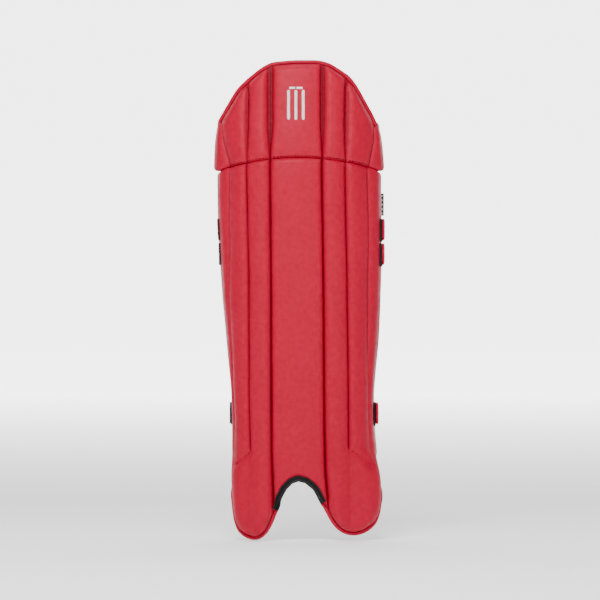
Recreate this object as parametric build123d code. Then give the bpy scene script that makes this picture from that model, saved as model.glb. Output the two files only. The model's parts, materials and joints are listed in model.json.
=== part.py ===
from build123d import *
import math
import os

# Wicket keeper's leg pad, in millimetres.
# +Z is up, +X is to the right of someone facing the pad, and the stitched front looks along -Y.
# Shapes are laid out with the crest of the shin at y = 0 and the depth counted backwards, and
# move_to_origin() then puts the bottom centre of the whole pad's box at the origin.

# --- Driving dimensions ---------------------------------------------------------------------
PAD_TOP = 659.3            # top of the piping above the lowest lobe
SEAM_SIDE = 507.5          # height of the knee seam at the two sides
SEAM_RISE = 18.0           # how far the seam arches up in the middle
PAD_HALF_WIDTH = 117.0
COVER = 1.2                # thickness of the face material
CLEAR = 0.2                # air between layers of one body
LAYER_GAP = 0.3            # air between the stiff board and its neighbours
GROOVE_GAP = 3.0           # width of the stitched groove between two foam bars
BEVEL_WIDTH = 6.0          # rounding of a bar beside its groove, across the bar
BEVEL_DEPTH = 7.0          # the same, into the groove
CROWN = 1.5                # swell of a bar's face
LOBE_SLACK = 2.6           # the lobe's foam lies this much deeper, under the ends of the grooves
BOARD = 2.5                # stiff backing sheet
LINING = 2.0               # soft lining cloth
PIPE_RADIUS = 3.0          # corded piping round the free edges
PIPE_INSET = 2 * PIPE_RADIUS + 1.1
WING_SLACK = 2.6           # the knee wing stops this much further from its piping
BINDING = 4.0              # red tape on the rear edges of the wings
BINDING_INSET = BINDING + 0.3
INSTEP_BINDING = 8.0       # black tape over the instep arch
INSTEP_INSET = INSTEP_BINDING + 0.3

# The knee hinges on the layer of backing, just behind the seam.
FLEX_DEPTH = 24.0
FLEX_Z = 516.0
FLEX_FORWARD = 15.0        # degrees
FLEX_BACK = 5.0
FLEX_CLEAR = 0.7           # half of the gap left at the hinge line

# Webbing straps: name, height of the middle.
STRAP_HEIGHTS = {"upper": 428.2, "lower": 394.2, "ankle": 174.0}
STRAP_WIDTH = 30.0
STRAP_THICK = 2.4
STRAP_BOW = 38.0           # how far the closed strap bows out behind the wings
STRAP_SETBACK = 7.0        # from the wing's rear edge back to the strap's two hinge lines
TAB_LENGTH = 44.0
TAB_THICK = 3.5
TAB_RIM = 3.0
PATCH_THICK = 1.1          # webbing patches sewn on the wings
PATCH_GAP = 0.5
TAB_LIFT = 0.4             # hooks standing on loops
LABEL_Z = (447.5, 478.5)
LABEL_REACH = 4.8


# --- Lines that the shape follows: (height, value) pairs, straight in between ----------------
SHIN_LEFT_EDGE = ((0, -93), (140, -93), (205, -94.5), (330, -106), (450, -112), (540, -112))
SHIN_LEFT_3 = (
    (0, -93), (90, -93), (118, -89.5), (170, -90.5), (250, -94), (330, -98.3), (540, -98.3),
)
SHIN_LEFT_2 = ((0, -69.4), (121, -69.4), (200, -71.5), (360, -71.5), (500, -75))
SHIN_LEFT_1 = ((0, -36), (55, -36.4), (124, -39.2), (360, -40), (515, -41.2))
SHIN_RIGHT_1 = ((0, 40.5), (55, 39.9), (96, 36.4), (151, 35.1), (357, 33.7), (495, 31.6))
SHIN_RIGHT_2 = ((0, 69.4), (126, 69.4), (200, 69.4), (357, 67.4), (495, 64.6))
SHIN_RIGHT_3 = (
    (0, 113.4), (55, 113.4), (88, 110.5), (104, 106), (126, 96), (357, 95.6), (412, 97.5), (540, 94),
)
SHIN_RIGHT_EDGE = (
    (0, 113.4), (55, 113.4), (137, 105.2), (170, 102.4), (204, 102.4), (270, 108), (368, 112),
    (540, 112),
)
KNEE_LEFT_EDGE = ((500, -116.8), (550, -116.4), (580, -113), (665, -112))
KNEE_LEFT_3 = ((500, -96), (514, -97), (550, -107), (580, -109.5), (665, -110))
KNEE_LEFT_2 = ((500, -74.5), (665, -72.5))
KNEE_LEFT_1 = ((500, -41.2), (665, -41.2))
KNEE_RIGHT_1 = ((500, 32), (665, 32.5))
KNEE_RIGHT_2 = ((500, 64.6), (665, 66.5))
KNEE_RIGHT_3 = ((500, 96), (514, 97), (550, 104.5), (580, 104), (665, 103))
KNEE_RIGHT_EDGE = ((500, 115), (550, 111.5), (580, 107), (665, 106))

# Depth of the front line behind the crest, for the lines from the wing's rear edge to groove 1.
LEAN = ((0, 3), (40, 0), (500, 0), (560, 5), (665, 21))
SHIN_DEPTHS = {
    "edge": ((0, 89), (540, 89)),
    "bend": ((0, 52), (540, 52)),
    "3": ((0, 32), (120, 34), (540, 34)),
    "2": ((0, 12), (120, 13), (540, 13)),
    "1": ((0, 1.5), (540, 1.5)),
}
KNEE_DEPTHS = {
    "edge": ((500, 84), (665, 84)),
    "bend": ((500, 53), (665, 53)),
    "3": ((500, 34), (550, 40), (665, 44)),
    "2": ((500, 13), (665, 13)),
    "1": ((500, 1.5), (665, 1.5)),
}
BEND_INSET = 1.0           # the wing is this much narrower where it turns forwards
THICKNESS = {"edge": 15, "bend": 16, "3": 20, "2": 22, "1": 22}
PAIRS = ("edge", "bend", "3", "2", "1")

SHIN_STATIONS = (-5, 30, 60, 90, 120, 170, 250, 330, 420, 540)
KNEE_STATIONS = (498, 515, 550, 580, 620, 665)
LOBE_STATIONS = (-5, 30, 60, 90, 120, 170)

# The outer grooves and the swell of the bars run out above the lobes.
GROOVE_FADE = ((120, 0.05), (160, 1.0))
CROWN_FADE = ((120, 0.2), (160, 1.0))

# Front outlines, (x, z).
TOP_OUTLINE = (
    (-150, 480), (-150, 565), (-117, 567), (-110, 579), (-85, 620), (-72.5, 632.5), (-54, 648),
    (-39, 656.5), (-8, PAD_TOP), (26, PAD_TOP), (42, 655), (68, 638), (78, 625), (101, 584.5),
    (110, 566), (150, 564), (150, 480),
)
BOTTOM_OUTLINE = (
    (-120, 76), (-97, 66), (-92.5, 42), (-86, 14), (-62, 0), (-42, 13), (-31, 40), (-18, 72),
    (-1.5, 82.5), (18.5, 71.5), (36, 39), (53, 14), (75, 6.5), (98, 15), (111.5, 40), (117, 66),
    (140, 76),
)
ARCH_FOOT = 47.0           # the black binding covers the arch above this height
ARCH_HALF = 50.0
BOTTOM_SAMPLES = 60

# Bottom ends of the channels, (x, z): the two outer ones close along a slanting seam.
LEFT_CHANNEL_END = ((0, 121), (-70.8, 121), (-100, 94), (-140, 94))
RIGHT_CHANNEL_END = ((0, 126.5), (69.4, 126.5), (99, 104), (140, 104))
WING_BOTTOM = 106.0


# --- Small helpers ---------------------------------------------------------------------------
def at(line, height):
    """Value of a (height, value) line at a height."""
    if height <= line[0][0]:
        return line[0][1]
    for (z0, v0), (z1, v1) in zip(line, line[1:]):
        if height <= z1:
            return v0 + (v1 - v0) * (height - z0) / (z1 - z0)
    return line[-1][1]


def unit(a, b):
    """Unit vector from point a to point b."""
    length = math.dist(a, b)
    return ((b[0] - a[0]) / length, (b[1] - a[1]) / length)


def shift(point, direction, distance):
    """Point moved along a unit vector."""
    return (point[0] + direction[0] * distance, point[1] + direction[1] * distance)


def offset_line(points, distances):
    """Mitred offset of an open line to its left, by one distance or one per point."""
    if not hasattr(distances, "__len__"):
        distances = [distances] * len(points)
    ways = [unit(a, b) for a, b in zip(points, points[1:])]
    moved = []
    for i, (point, distance) in enumerate(zip(points, distances)):
        before = ways[max(i - 1, 0)]
        after = ways[min(i, len(ways) - 1)]
        normal = (-before[1] - after[1], before[0] + after[0])
        size = math.hypot(*normal)
        normal = (normal[0] / size, normal[1] / size)
        lean = normal[0] * -after[1] + normal[1] * after[0]
        moved.append(shift(point, normal, distance / lean))
    return moved


def sub_line(points, start, end):
    """Stretch of a line between two positions, each an index plus a fraction."""
    def place(position):
        index = min(int(position), len(points) - 2)
        way = position - index
        a, b = points[index], points[index + 1]
        return (a[0] + (b[0] - a[0]) * way, a[1] + (b[1] - a[1]) * way)

    inner = [points[i] for i in range(int(start) + 1, math.ceil(end))]
    return [place(start), *inner, place(end)]


def flat(points, height):
    """Closed polygon of (x, y) points at one height."""
    return Face(Wire.make_polygon([Vector(x, y, height) for x, y in points], close=True))


def ruled(points_at, heights, height):
    """Points at a height of the surface that runs straight between the sections at the heights."""
    upper = next(z for z in heights if z >= height)
    lower = max([z for z in heights if z < height], default=upper)
    share = 0 if upper == lower else (height - lower) / (upper - lower)
    pairs = zip(points_at(lower), points_at(upper))
    return [(a[0] + (b[0] - a[0]) * share, a[1] + (b[1] - a[1]) * share) for a, b in pairs]


def stack(polygon_at, heights):
    """Solid through the polygons that polygon_at gives at each height."""
    return Solid.make_loft([flat(polygon_at(z), z).outer_wire() for z in heights], ruled=True)


def front_prism(points, front=-40.0, rear=180.0):
    """Solid of an (x, z) outline, right through the pad from front to rear."""
    corners = [Vector(x, front, z) for x, z in points]
    return Solid.extrude(Face(Wire.make_polygon(corners, close=True)), Vector(0, rear - front, 0))


def side_prism(points):
    """Solid of a (y, z) outline, right across the pad."""
    corners = [Vector(-150, y, z) for y, z in points]
    return Solid.extrude(Face(Wire.make_polygon(corners, close=True)), Vector(300, 0, 0))


def one(shape):
    """The single solid of a boolean's result, the largest if slivers came with it."""
    return max(shape.solids(), key=lambda solid: solid.volume)


def box(x, y, z):
    """Box between pairs of limits."""
    size = (x[1] - x[0], y[1] - y[0], z[1] - z[0])
    middle = (sum(x) / 2, sum(y) / 2, sum(z) / 2)
    return Pos(*middle) * Box(*size)


# --- The pad's cross-section -----------------------------------------------------------------
def crest_line(height, knee):
    """Ten (x, y) points of the outer surface, from the left wing's rear edge to the right one's."""
    depths = KNEE_DEPTHS if knee else SHIN_DEPTHS
    if knee:
        left = (KNEE_LEFT_EDGE, KNEE_LEFT_EDGE, KNEE_LEFT_3, KNEE_LEFT_2, KNEE_LEFT_1)
        right = (KNEE_RIGHT_EDGE, KNEE_RIGHT_EDGE, KNEE_RIGHT_3, KNEE_RIGHT_2, KNEE_RIGHT_1)
    else:
        left = (SHIN_LEFT_EDGE, SHIN_LEFT_EDGE, SHIN_LEFT_3, SHIN_LEFT_2, SHIN_LEFT_1)
        right = (SHIN_RIGHT_EDGE, SHIN_RIGHT_EDGE, SHIN_RIGHT_3, SHIN_RIGHT_2, SHIN_RIGHT_1)
    points = {-1: [], 1: []}
    for side, lines in ((-1, left), (1, right)):
        for name, line in zip(PAIRS, lines):
            inset = BEND_INSET if name == "bend" else 0
            y = at(depths[name], height) + at(LEAN, height)
            points[side].append((at(line, height) - side * inset, y))
    return points[-1] + points[1][::-1]


def foam_lines(height, knee):
    """Front and rear (x, y) lines of the foam."""
    crest = crest_line(height, knee)
    front = offset_line(crest, COVER + 2 * CLEAR)
    thick = [THICKNESS[name] for name in PAIRS]
    rear = offset_line(front, thick + thick[::-1])
    return front, rear


def groove_scale(index, height, knee):
    """How deep a groove is, from 1 down to 0; the outer ones run out above the lobes."""
    if knee:
        return 0.5 if index in (2, 7) else 1.0
    if index in (4, 5):
        return 1.0
    return at(GROOVE_FADE, height)


def bar_section(height, knee, first, last, slack=0.0):
    """Outer and inner points of the foam bar between two crest points."""
    front, rear = foam_lines(height, knee)
    front = offset_line(front, slack)
    outer, inner = front[first:last + 1], rear[first:last + 1]
    ends = []
    for index, a, b, c, d in ((first, outer[0], outer[1], inner[0], inner[1]),
                              (last, outer[-1], outer[-2], inner[-1], inner[-2])):
        scale = groove_scale(index, height, knee)
        corner = shift(a, unit(a, b), GROOVE_GAP / 2)
        back = shift(c, unit(c, d), GROOVE_GAP / 2)
        face = shift(corner, unit(corner, back), BEVEL_DEPTH * scale)
        top = shift(corner, unit(a, b), max(BEVEL_WIDTH * scale, 1.0))
        ends.append((face, top, back))
    if last - first > 1:
        middle, inner_middle = [outer[1]], [inner[1]]
    else:
        a, b = ends[0][1], ends[1][1]
        along = unit(a, b)
        half = shift(a, along, math.dist(a, b) / 2)
        swell = CROWN * (1.0 if knee else at(CROWN_FADE, height))
        middle, inner_middle = [shift(half, (along[1], -along[0]), swell)], []
    outer_points = [ends[0][0], ends[0][1], *middle, ends[1][1], ends[1][0]]
    inner_points = [ends[1][2], *inner_middle, ends[0][2]]
    return outer_points, inner_points


BAR_SPANS = {
    "left_wing": (0, 2), "left_outer": (2, 3), "left_inner": (3, 4), "centre": (4, 5),
    "right_inner": (5, 6), "right_outer": (6, 7), "right_wing": (7, 9),
}


def bar(name, knee):
    """Foam bar of one channel, over the whole height of its section."""
    first, last = BAR_SPANS[name]

    def polygon(height):
        outer, inner = bar_section(height, knee, first, last)
        return outer + inner

    return stack(polygon, KNEE_STATIONS if knee else SHIN_STATIONS)


def lobe(first, last):
    """Foam of one lobe, which spans two channels."""
    def polygon(height):
        outer, inner = bar_section(height, False, first, last, slack=LOBE_SLACK)
        return outer + inner

    return stack(polygon, LOBE_STATIONS)


def cover(knee):
    """Face material, dipping into every groove."""
    def polygon(height):
        skin = []
        for first, last in BAR_SPANS.values():
            skin += bar_section(height, knee, first, last)[0]
        return offset_line(skin, -CLEAR) + offset_line(skin, -CLEAR - COVER)[::-1]

    return stack(polygon, KNEE_STATIONS if knee else SHIN_STATIONS)


def layer(knee, start, end):
    """Sheet behind the foam, between two distances from it."""
    def polygon(height):
        rear = foam_lines(height, knee)[1]
        return offset_line(rear, start) + offset_line(rear, end)[::-1]

    return stack(polygon, KNEE_STATIONS if knee else SHIN_STATIONS)


LINING_FRONT = 2 * LAYER_GAP + BOARD
LINING_REAR = LINING_FRONT + LINING


def whole_thickness(knee):
    """Block from just outside the cover to just behind the lining, which edge tapes are cut from."""
    def polygon(height):
        crest = crest_line(height, knee)
        rear = foam_lines(height, knee)[1]
        return offset_line(crest, -CLEAR) + offset_line(rear, LINING_REAR + CLEAR)[::-1]

    return stack(polygon, KNEE_STATIONS if knee else SHIN_STATIONS)


def cushion(knee, start, end, heights, depth, taper, shoulder):
    """Stuffed cushion on the lining; its ends slope off over the shoulder to taper of its depth."""
    low, high = heights
    levels = KNEE_STATIONS if knee else SHIN_STATIONS
    middle = [z for z in levels if low + shoulder < z < high - shoulder]
    stations = [low, low + shoulder, *middle, high - shoulder, high]

    def lining_rear(height):
        return offset_line(foam_lines(height, knee)[1], LINING_REAR + LAYER_GAP)

    def polygon(height):
        base = sub_line(ruled(lining_rear, levels, height), start, end)
        share = taper if height in heights else 1.0
        top = offset_line(base, depth * share)
        inset = depth * 0.35
        top[0] = shift(top[0], unit(top[0], top[1]), inset)
        top[-1] = shift(top[-1], unit(top[-1], top[-2]), inset)
        return base + top[::-1]

    return stack(polygon, stations)


# --- Limits that the sections are trimmed to ---------------------------------------------------
def seam_height(x):
    """The arched knee seam."""
    return SEAM_SIDE + SEAM_RISE * (1 - (x / PAD_HALF_WIDTH) ** 2)


SEAM_XS = [PAD_HALF_WIDTH * 1.2 * i / 6 for i in range(-6, 7)]
SEAM_LINE = [(x, seam_height(x)) for x in SEAM_XS]


def flex_notch():
    """Air round the knee seam, as wide as the flex needs in front of its axis and behind it."""
    def ring(depth):
        arm = depth - FLEX_DEPTH
        angle = FLEX_FORWARD if arm < 0 else FLEX_BACK
        half = FLEX_CLEAR + abs(arm) * math.tan(math.radians(angle)) / 2
        upper = [Vector(x, depth, z + half) for x, z in SEAM_LINE]
        lower = [Vector(x, depth, z - half) for x, z in reversed(SEAM_LINE)]
        return Wire.make_polygon(upper + lower, close=True)

    return Solid.make_loft([ring(-20), ring(FLEX_DEPTH), ring(160)], ruled=True)


def on_arch(point):
    """Whether a point of the bottom outline is under the black binding."""
    return abs(point[0]) < ARCH_HALF and point[1] > ARCH_FOOT


def bottom_line(pipe_inset, arch_inset):
    """Lobes and instep arch, moved inwards, from the left side to the right one."""
    curve = Spline(*[(x, z) for x, z in BOTTOM_OUTLINE])
    spots = [curve @ (i / BOTTOM_SAMPLES) for i in range(BOTTOM_SAMPLES + 1)]
    points = [(spot.X, spot.Y) for spot in spots]
    return offset_line(points, [arch_inset if on_arch(p) else pipe_inset for p in points])


def above_bottom(pipe_inset, arch_inset):
    """Everything above the lobes' and the arch's outline."""
    line = bottom_line(pipe_inset, arch_inset)
    return front_prism([(-140, line[0][1]), *line, (140, line[-1][1]), (140, 600), (-140, 600)])


def below_top(inset):
    """Everything below the top outline."""
    line = offset_line(TOP_OUTLINE, -inset)
    return front_prism([*line, (line[-1][0], 400), (line[0][0], 400)])


def arc_points(centre, radius, start, end, steps=6):
    """Points of an arc between two angles in degrees."""
    angles = [math.radians(start + (end - start) * i / steps) for i in range(steps + 1)]
    return [(centre[0] + radius * math.cos(a), centre[1] + radius * math.sin(a)) for a in angles]


SHIN_REAR = 92.0           # rear edge of the shin wing, binding included
WING_CORNER = 36.0
LOBE_REAR = 50.0


def shin_side(inset):
    """Side outline of the shin: the wing ends in a round corner above the lobe."""
    rear, corner = SHIN_REAR - inset, WING_CORNER - inset
    centre = (SHIN_REAR - WING_CORNER, WING_BOTTOM + WING_CORNER)
    turn = arc_points(centre, corner, -90, 0)
    return side_prism([(-30, -30), (LOBE_REAR, -30), (LOBE_REAR, WING_BOTTOM + inset), *turn,
                       (rear, 560), (-30, 560)])


def knee_side(inset):
    """Side outline of the knee: the rear edge of its wing curves forwards at the top."""
    edge = offset_line([(86, 480), (85, 535), (79, 556), (66, 570), (64, 700)], inset)
    return side_prism([(-30, 480), *edge, (-30, 700)])


below_seam = front_prism([*SEAM_LINE, (150, -40), (-150, -40)]) - flex_notch()
above_seam = front_prism([*SEAM_LINE, (150, 720), (-150, 720)]) - flex_notch()
lobe_trim = above_bottom(PIPE_INSET, INSTEP_INSET)
top_trim = below_top(PIPE_INSET)
shin_trim = shin_side(BINDING_INSET)
knee_trim = knee_side(PIPE_INSET + WING_SLACK)

pieces = {}

# --- Knee section --------------------------------------------------------------------------------
for name in BAR_SPANS:
    pieces[f"knee_{name}_bar"] = bar(name, True) & above_seam & top_trim & knee_trim
pieces["knee_cover"] = cover(True) & above_seam & top_trim & knee_trim
pieces["knee_board"] = layer(True, LAYER_GAP, LAYER_GAP + BOARD) & above_seam & top_trim & knee_trim
pieces["knee_lining"] = layer(True, LINING_FRONT, LINING_REAR) & above_seam & top_trim & knee_trim
pieces["knee_roll_lower"] = cushion(True, 3.3, 5.7, (534, 576), 20, 0.5, 10)
pieces["knee_roll_upper"] = cushion(True, 3.3, 5.7, (580, 622), 18, 0.5, 10)

# --- Shin section --------------------------------------------------------------------------------
left_above = front_prism([*LEFT_CHANNEL_END, (-140, 600), (0, 600)])
right_above = front_prism([*RIGHT_CHANNEL_END, (140, 600), (0, 600)])
left_below = front_prism([*[(x, z - 1) for x, z in LEFT_CHANNEL_END], (-140, -30), (0, -30)])
right_below = front_prism([*[(x, z - 1) for x, z in RIGHT_CHANNEL_END], (140, -30), (0, -30)])
above_wing_bottom = front_prism([(-140, WING_BOTTOM), (140, WING_BOTTOM), (140, 600), (-140, 600)])
channel_floor = {
    "left_wing": above_wing_bottom, "left_outer": left_above, "left_inner": left_above,
    "centre": lobe_trim,
    "right_inner": right_above, "right_outer": right_above, "right_wing": above_wing_bottom,
}
for name, floor in channel_floor.items():
    pieces[f"shin_{name}_bar"] = bar(name, False) & below_seam & floor & shin_trim
pieces["left_lobe_foam"] = lobe(2, 4) & left_below & lobe_trim & shin_trim
pieces["right_lobe_foam"] = lobe(5, 7) & right_below & lobe_trim & shin_trim
pieces["shin_cover"] = cover(False) & below_seam & lobe_trim & shin_trim
pieces["shin_board"] = layer(False, LAYER_GAP, LAYER_GAP + BOARD) & below_seam & lobe_trim & shin_trim
pieces["shin_lining"] = layer(False, LINING_FRONT, LINING_REAR) & below_seam & lobe_trim & shin_trim
pieces["left_bolster"] = cushion(False, 3.3, 4.4, (135, 470), 22, 0.5, 14)
pieces["right_bolster"] = cushion(False, 4.6, 5.7, (135, 470), 22, 0.5, 14)
pieces["instep_cushion"] = cushion(False, 4.12, 4.88, (97, 128), 9, 0.5, 6)
pieces["left_wing_cushion"] = cushion(False, 0.25, 0.9, (160, 470), 8, 0.5, 10)
pieces["right_wing_cushion"] = cushion(False, 8.1, 8.75, (160, 470), 8, 0.5, 10)

# --- Edges: tapes and piping ---------------------------------------------------------------------
def front_depth(x, height, knee):
    """Depth of the outer surface at a place in the front view, between the two wing bends."""
    line = crest_line(height, knee)[1:-1]
    for (x0, y0), (x1, y1) in zip(line, line[1:]):
        if x <= x1:
            return y0 + (y1 - y0) * max(x - x0, 0) / (x1 - x0)
    return line[-1][1]


def piping(points, radius):
    """Round cord along a route, with the same bend at each corner."""
    route = FilletPolyline(*points, radius=radius)
    ring = Plane(origin=route @ 0, z_dir=route % 0) * Circle(PIPE_RADIUS)
    return sweep(ring, path=route)


shin_block = whole_thickness(False) & below_seam
wing_tape = shin_block & (shin_side(0) - shin_side(BINDING)) & above_wing_bottom
pieces["left_edge_binding"] = wing_tape & box((-150, 0), (0, 150), (0, 600))
pieces["right_edge_binding"] = wing_tape & box((0, 150), (0, 150), (0, 600))

edge_points = [p for p in bottom_line(0, 0) if on_arch(p)]
tape_points = offset_line(edge_points, INSTEP_BINDING)
pieces["instep_binding"] = shin_block & front_prism([*edge_points, *tape_points[::-1]])

PIPE_BACK = 9.0            # the piping's middle behind the outer surface
PIPE_LINE = PIPE_RADIUS + 0.1
top_line = offset_line(TOP_OUTLINE, -PIPE_LINE)[3:-3]
top_route = [(x, front_depth(x, z, True) + PIPE_BACK, z) for x, z in top_line]
left_rise = [(-109, 82, 514), (-109, 81, 535), (-108, 75, 556), (-107, 64, 571)]
right_rise = [(100, 64, 571), (101.5, 75, 556), (103, 81, 535), (105, 82, 514)]
pieces["top_piping"] = piping([*left_rise, *top_route, *right_rise], 5)

LOBE_PIPE_REAR = LOBE_REAR + PIPE_LINE + CLEAR


def lobe_piping(route, x):
    """Piping down one side of the arch, round the lobe and up its outer edge at x."""
    outline = [(px, front_depth(px, pz, False) + PIPE_BACK, pz) for px, pz in route]
    rise = [(x, 42, 44), (x, LOBE_PIPE_REAR, 60), (x, LOBE_PIPE_REAR, 100)]
    return piping([*outline, *rise], 4)


LEFT_LOBE_ROUTE = ((-27, 42.5), (-39, 13.5), (-52, 5), (-62, PIPE_LINE), (-73, 6), (-83.5, 15), (-89, 32))
RIGHT_LOBE_ROUTE = ((32.5, 41.5), (50, 17), (61, 11), (75, 9.6), (87, 12.5), (96, 17.5), (106, 31))
pieces["left_lobe_piping"] = lobe_piping(LEFT_LOBE_ROUTE, -89.5)
pieces["right_lobe_piping"] = lobe_piping(RIGHT_LOBE_ROUTE, 109)

# --- Emblem: three stumps under two bails, raised on the knee's middle channel --------------------
EMBLEM_Z = 600.0
EMBLEM_X = -5.0
EMBLEM_HEIGHT = 46.0
EMBLEM_RAISE = 0.8
STUMP_WIDTH = 3.2
STUMP_PITCH = 10.0
BAIL_HEIGHT = 2.6
BAIL_GAP = 1.0
emblem_slope = math.degrees(math.atan2(LEAN[-1][1] - LEAN[-2][1], LEAN[-1][0] - LEAN[-2][0]))
emblem_front = crest_line(EMBLEM_Z, True)[4][1] - CROWN - CLEAR - EMBLEM_RAISE / 2
stump = Box(STUMP_WIDTH, EMBLEM_RAISE, EMBLEM_HEIGHT - 2 * BAIL_HEIGHT)
stumps = [Pos(i * STUMP_PITCH, 0, -BAIL_HEIGHT) * stump for i in (-1, 0, 1)]
bail = Box(STUMP_PITCH - BAIL_GAP, EMBLEM_RAISE, BAIL_HEIGHT)
bail_z = (EMBLEM_HEIGHT - BAIL_HEIGHT) / 2
bails = [Pos(i * STUMP_PITCH / 2, 0, bail_z) * bail for i in (-1, 1)]
emblem_place = Pos(EMBLEM_X, emblem_front, EMBLEM_Z) * Rot(-emblem_slope, 0, 0)
emblem = emblem_place * Compound(children=[*stumps, *bails])

# --- Straps --------------------------------------------------------------------------------------
hinges = {}
for name, height in STRAP_HEIGHTS.items():
    low, high = height - STRAP_WIDTH / 2, height + STRAP_WIDTH / 2
    lines = [ruled(lambda z: crest_line(z, False), SHIN_STATIONS, z) for z in (low, high)]
    left = min(line[0][0] for line in lines) - PATCH_GAP
    right = max(line[-1][0] for line in lines) + PATCH_GAP
    left_patch = (left - PATCH_THICK, left)
    right_patch = (right, right + PATCH_THICK)
    tab_x = (right_patch[1] + TAB_LIFT, right_patch[1] + TAB_LIFT + TAB_THICK)
    rear = SHIN_REAR + STRAP_SETBACK - 3
    start = (sum(left_patch) / 2 - 0.6, rear)
    end = (sum(tab_x) / 2, rear)
    hinges[name] = (start, end, height)

    pieces[f"{name}_strap_anchor"] = box(left_patch, (54, rear - 2), (low, high))
    pieces[f"{name}_landing_patch"] = box(right_patch, (50, 88), (low - 2, high - 0.5))

    middle = ((start[0] + end[0]) / 2, rear + STRAP_BOW)
    radius = (STRAP_BOW ** 2 + (end[0] - start[0]) ** 2 / 4) / (2 * STRAP_BOW)
    pivot = (middle[0], middle[1] - radius)
    half = STRAP_THICK / 2
    rings = []
    for grown in (half, -half):
        spots = [shift(pivot, unit(pivot, p), radius + grown) for p in (start, middle, end)]
        rings.append(spots if grown > 0 else spots[::-1])
    outer, inner = rings
    band = make_face([
        ThreePointArc(*outer), Line(outer[-1], inner[0]), ThreePointArc(*inner), Line(inner[-1], outer[0]),
    ])
    knuckles = [Pos(*spot) * Circle(half) for spot in (start, end)]
    profile = band + knuckles
    pieces[f"{name}_strap"] = extrude(Pos(0, 0, low) * profile, STRAP_WIDTH)

    tab_y = (rear - TAB_LENGTH, rear - 1.8)
    rim_front = tab_y[0] + TAB_RIM
    pieces[f"{name}_tab"] = box(tab_x, (rim_front + CLEAR, tab_y[1]), (low + TAB_RIM, high - TAB_RIM))
    core_hole = box((tab_x[0] - 1, tab_x[1] + 1), (rim_front, tab_y[1] + 1),
                    (low + TAB_RIM - CLEAR, high - TAB_RIM + CLEAR))
    pieces[f"{name}_tab_rim"] = box(tab_x, tab_y, (low, high)) - core_hole

label_x = at(SHIN_RIGHT_EDGE, LABEL_Z[0]) + CLEAR
pieces["side_label"] = box((label_x, label_x + LABEL_REACH), (86, 87.2), LABEL_Z)

# --- Origin at the bottom centre of the box, then export -------------------------------------------
for name, shape in pieces.items():
    pieces[name] = one(shape)
pieces["emblem"] = emblem

boxes = [shape.bounding_box() for shape in pieces.values()]
centre_x = (min(b.min.X for b in boxes) + max(b.max.X for b in boxes)) / 2
centre_y = (min(b.min.Y for b in boxes) + max(b.max.Y for b in boxes)) / 2
bottom = min(b.min.Z for b in boxes)
to_origin = Pos(-centre_x, -centre_y, -bottom)

os.makedirs("parts", exist_ok=True)
for name, shape in pieces.items():
    export_step(to_origin * shape, f"parts/{name}.step")

print("moved by", [round(v, 4) for v in (-centre_x, -centre_y, -bottom)])
print("knee_flex at", [0, round(FLEX_DEPTH - centre_y, 3), round(FLEX_Z - bottom, 3)])
for name, (start, end, height) in hinges.items():
    for joint, spot in (("swing", start), ("peel", end)):
        place = (spot[0] - centre_x, spot[1] - centre_y, height - bottom)
        print(name, joint, [round(v, 3) for v in place])
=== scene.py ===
"""Wicket keeper's leg pad: the visual model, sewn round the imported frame."""
import json
import logging
import math
from dataclasses import dataclass, field
from enum import Enum
from typing import Callable, Iterable, Sequence

import bmesh
import bpy
import numpy as np
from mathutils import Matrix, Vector


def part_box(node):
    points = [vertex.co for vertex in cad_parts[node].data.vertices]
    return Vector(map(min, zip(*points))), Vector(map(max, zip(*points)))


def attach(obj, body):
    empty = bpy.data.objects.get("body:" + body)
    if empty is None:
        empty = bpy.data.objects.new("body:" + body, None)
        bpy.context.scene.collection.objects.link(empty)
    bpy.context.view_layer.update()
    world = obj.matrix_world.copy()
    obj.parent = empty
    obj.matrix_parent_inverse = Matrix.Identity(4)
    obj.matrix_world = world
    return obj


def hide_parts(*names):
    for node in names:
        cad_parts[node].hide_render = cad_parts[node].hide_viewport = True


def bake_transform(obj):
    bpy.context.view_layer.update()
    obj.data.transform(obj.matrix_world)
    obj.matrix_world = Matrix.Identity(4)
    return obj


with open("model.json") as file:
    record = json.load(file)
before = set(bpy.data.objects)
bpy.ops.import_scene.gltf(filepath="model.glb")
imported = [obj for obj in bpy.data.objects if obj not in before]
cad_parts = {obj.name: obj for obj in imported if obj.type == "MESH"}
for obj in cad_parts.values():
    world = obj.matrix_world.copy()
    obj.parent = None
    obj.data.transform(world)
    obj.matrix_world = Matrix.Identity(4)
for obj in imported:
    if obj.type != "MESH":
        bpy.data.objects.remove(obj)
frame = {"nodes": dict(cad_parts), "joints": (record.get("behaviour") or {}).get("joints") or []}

log = logging.getLogger("leg_pad")
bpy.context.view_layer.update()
MM = 0.001
JOINTS = {joint["name"]: joint for joint in frame["joints"]}
FLEX = Vector(JOINTS["knee_flex"]["pos_m"])
# The pad is laid out in millimetres from the crest of its shin; this moves the layout to the frame.
FLEX_DEPTH, FLEX_HEIGHT = 24.0, 516.0
LAYOUT_SHIFT = np.array([-0.64, FLEX.y / MM - FLEX_DEPTH, FLEX.z / MM - FLEX_HEIGHT])

Knots = tuple[tuple[float, float], ...]


class Body(str, Enum):
    """Bodies of the frame that carry pieces of their own."""

    SHIN = "shin_section"
    KNEE = "knee_section"


# --- Layout of the pad, in millimetres ---
SEAM_SIDE, SEAM_RISE, HALF_WIDTH = 507.5, 18.0, 117.0
LEAN: Knots = ((0, 3), (40, 0), (500, 0), (560, 5), (665, 21))
LAST = 9                   # index of the last crest line; the lines are 0 to 9 from left to right

WING_FLARE = 1.0           # how far a wing's rear edge lies outside the line before it


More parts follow.
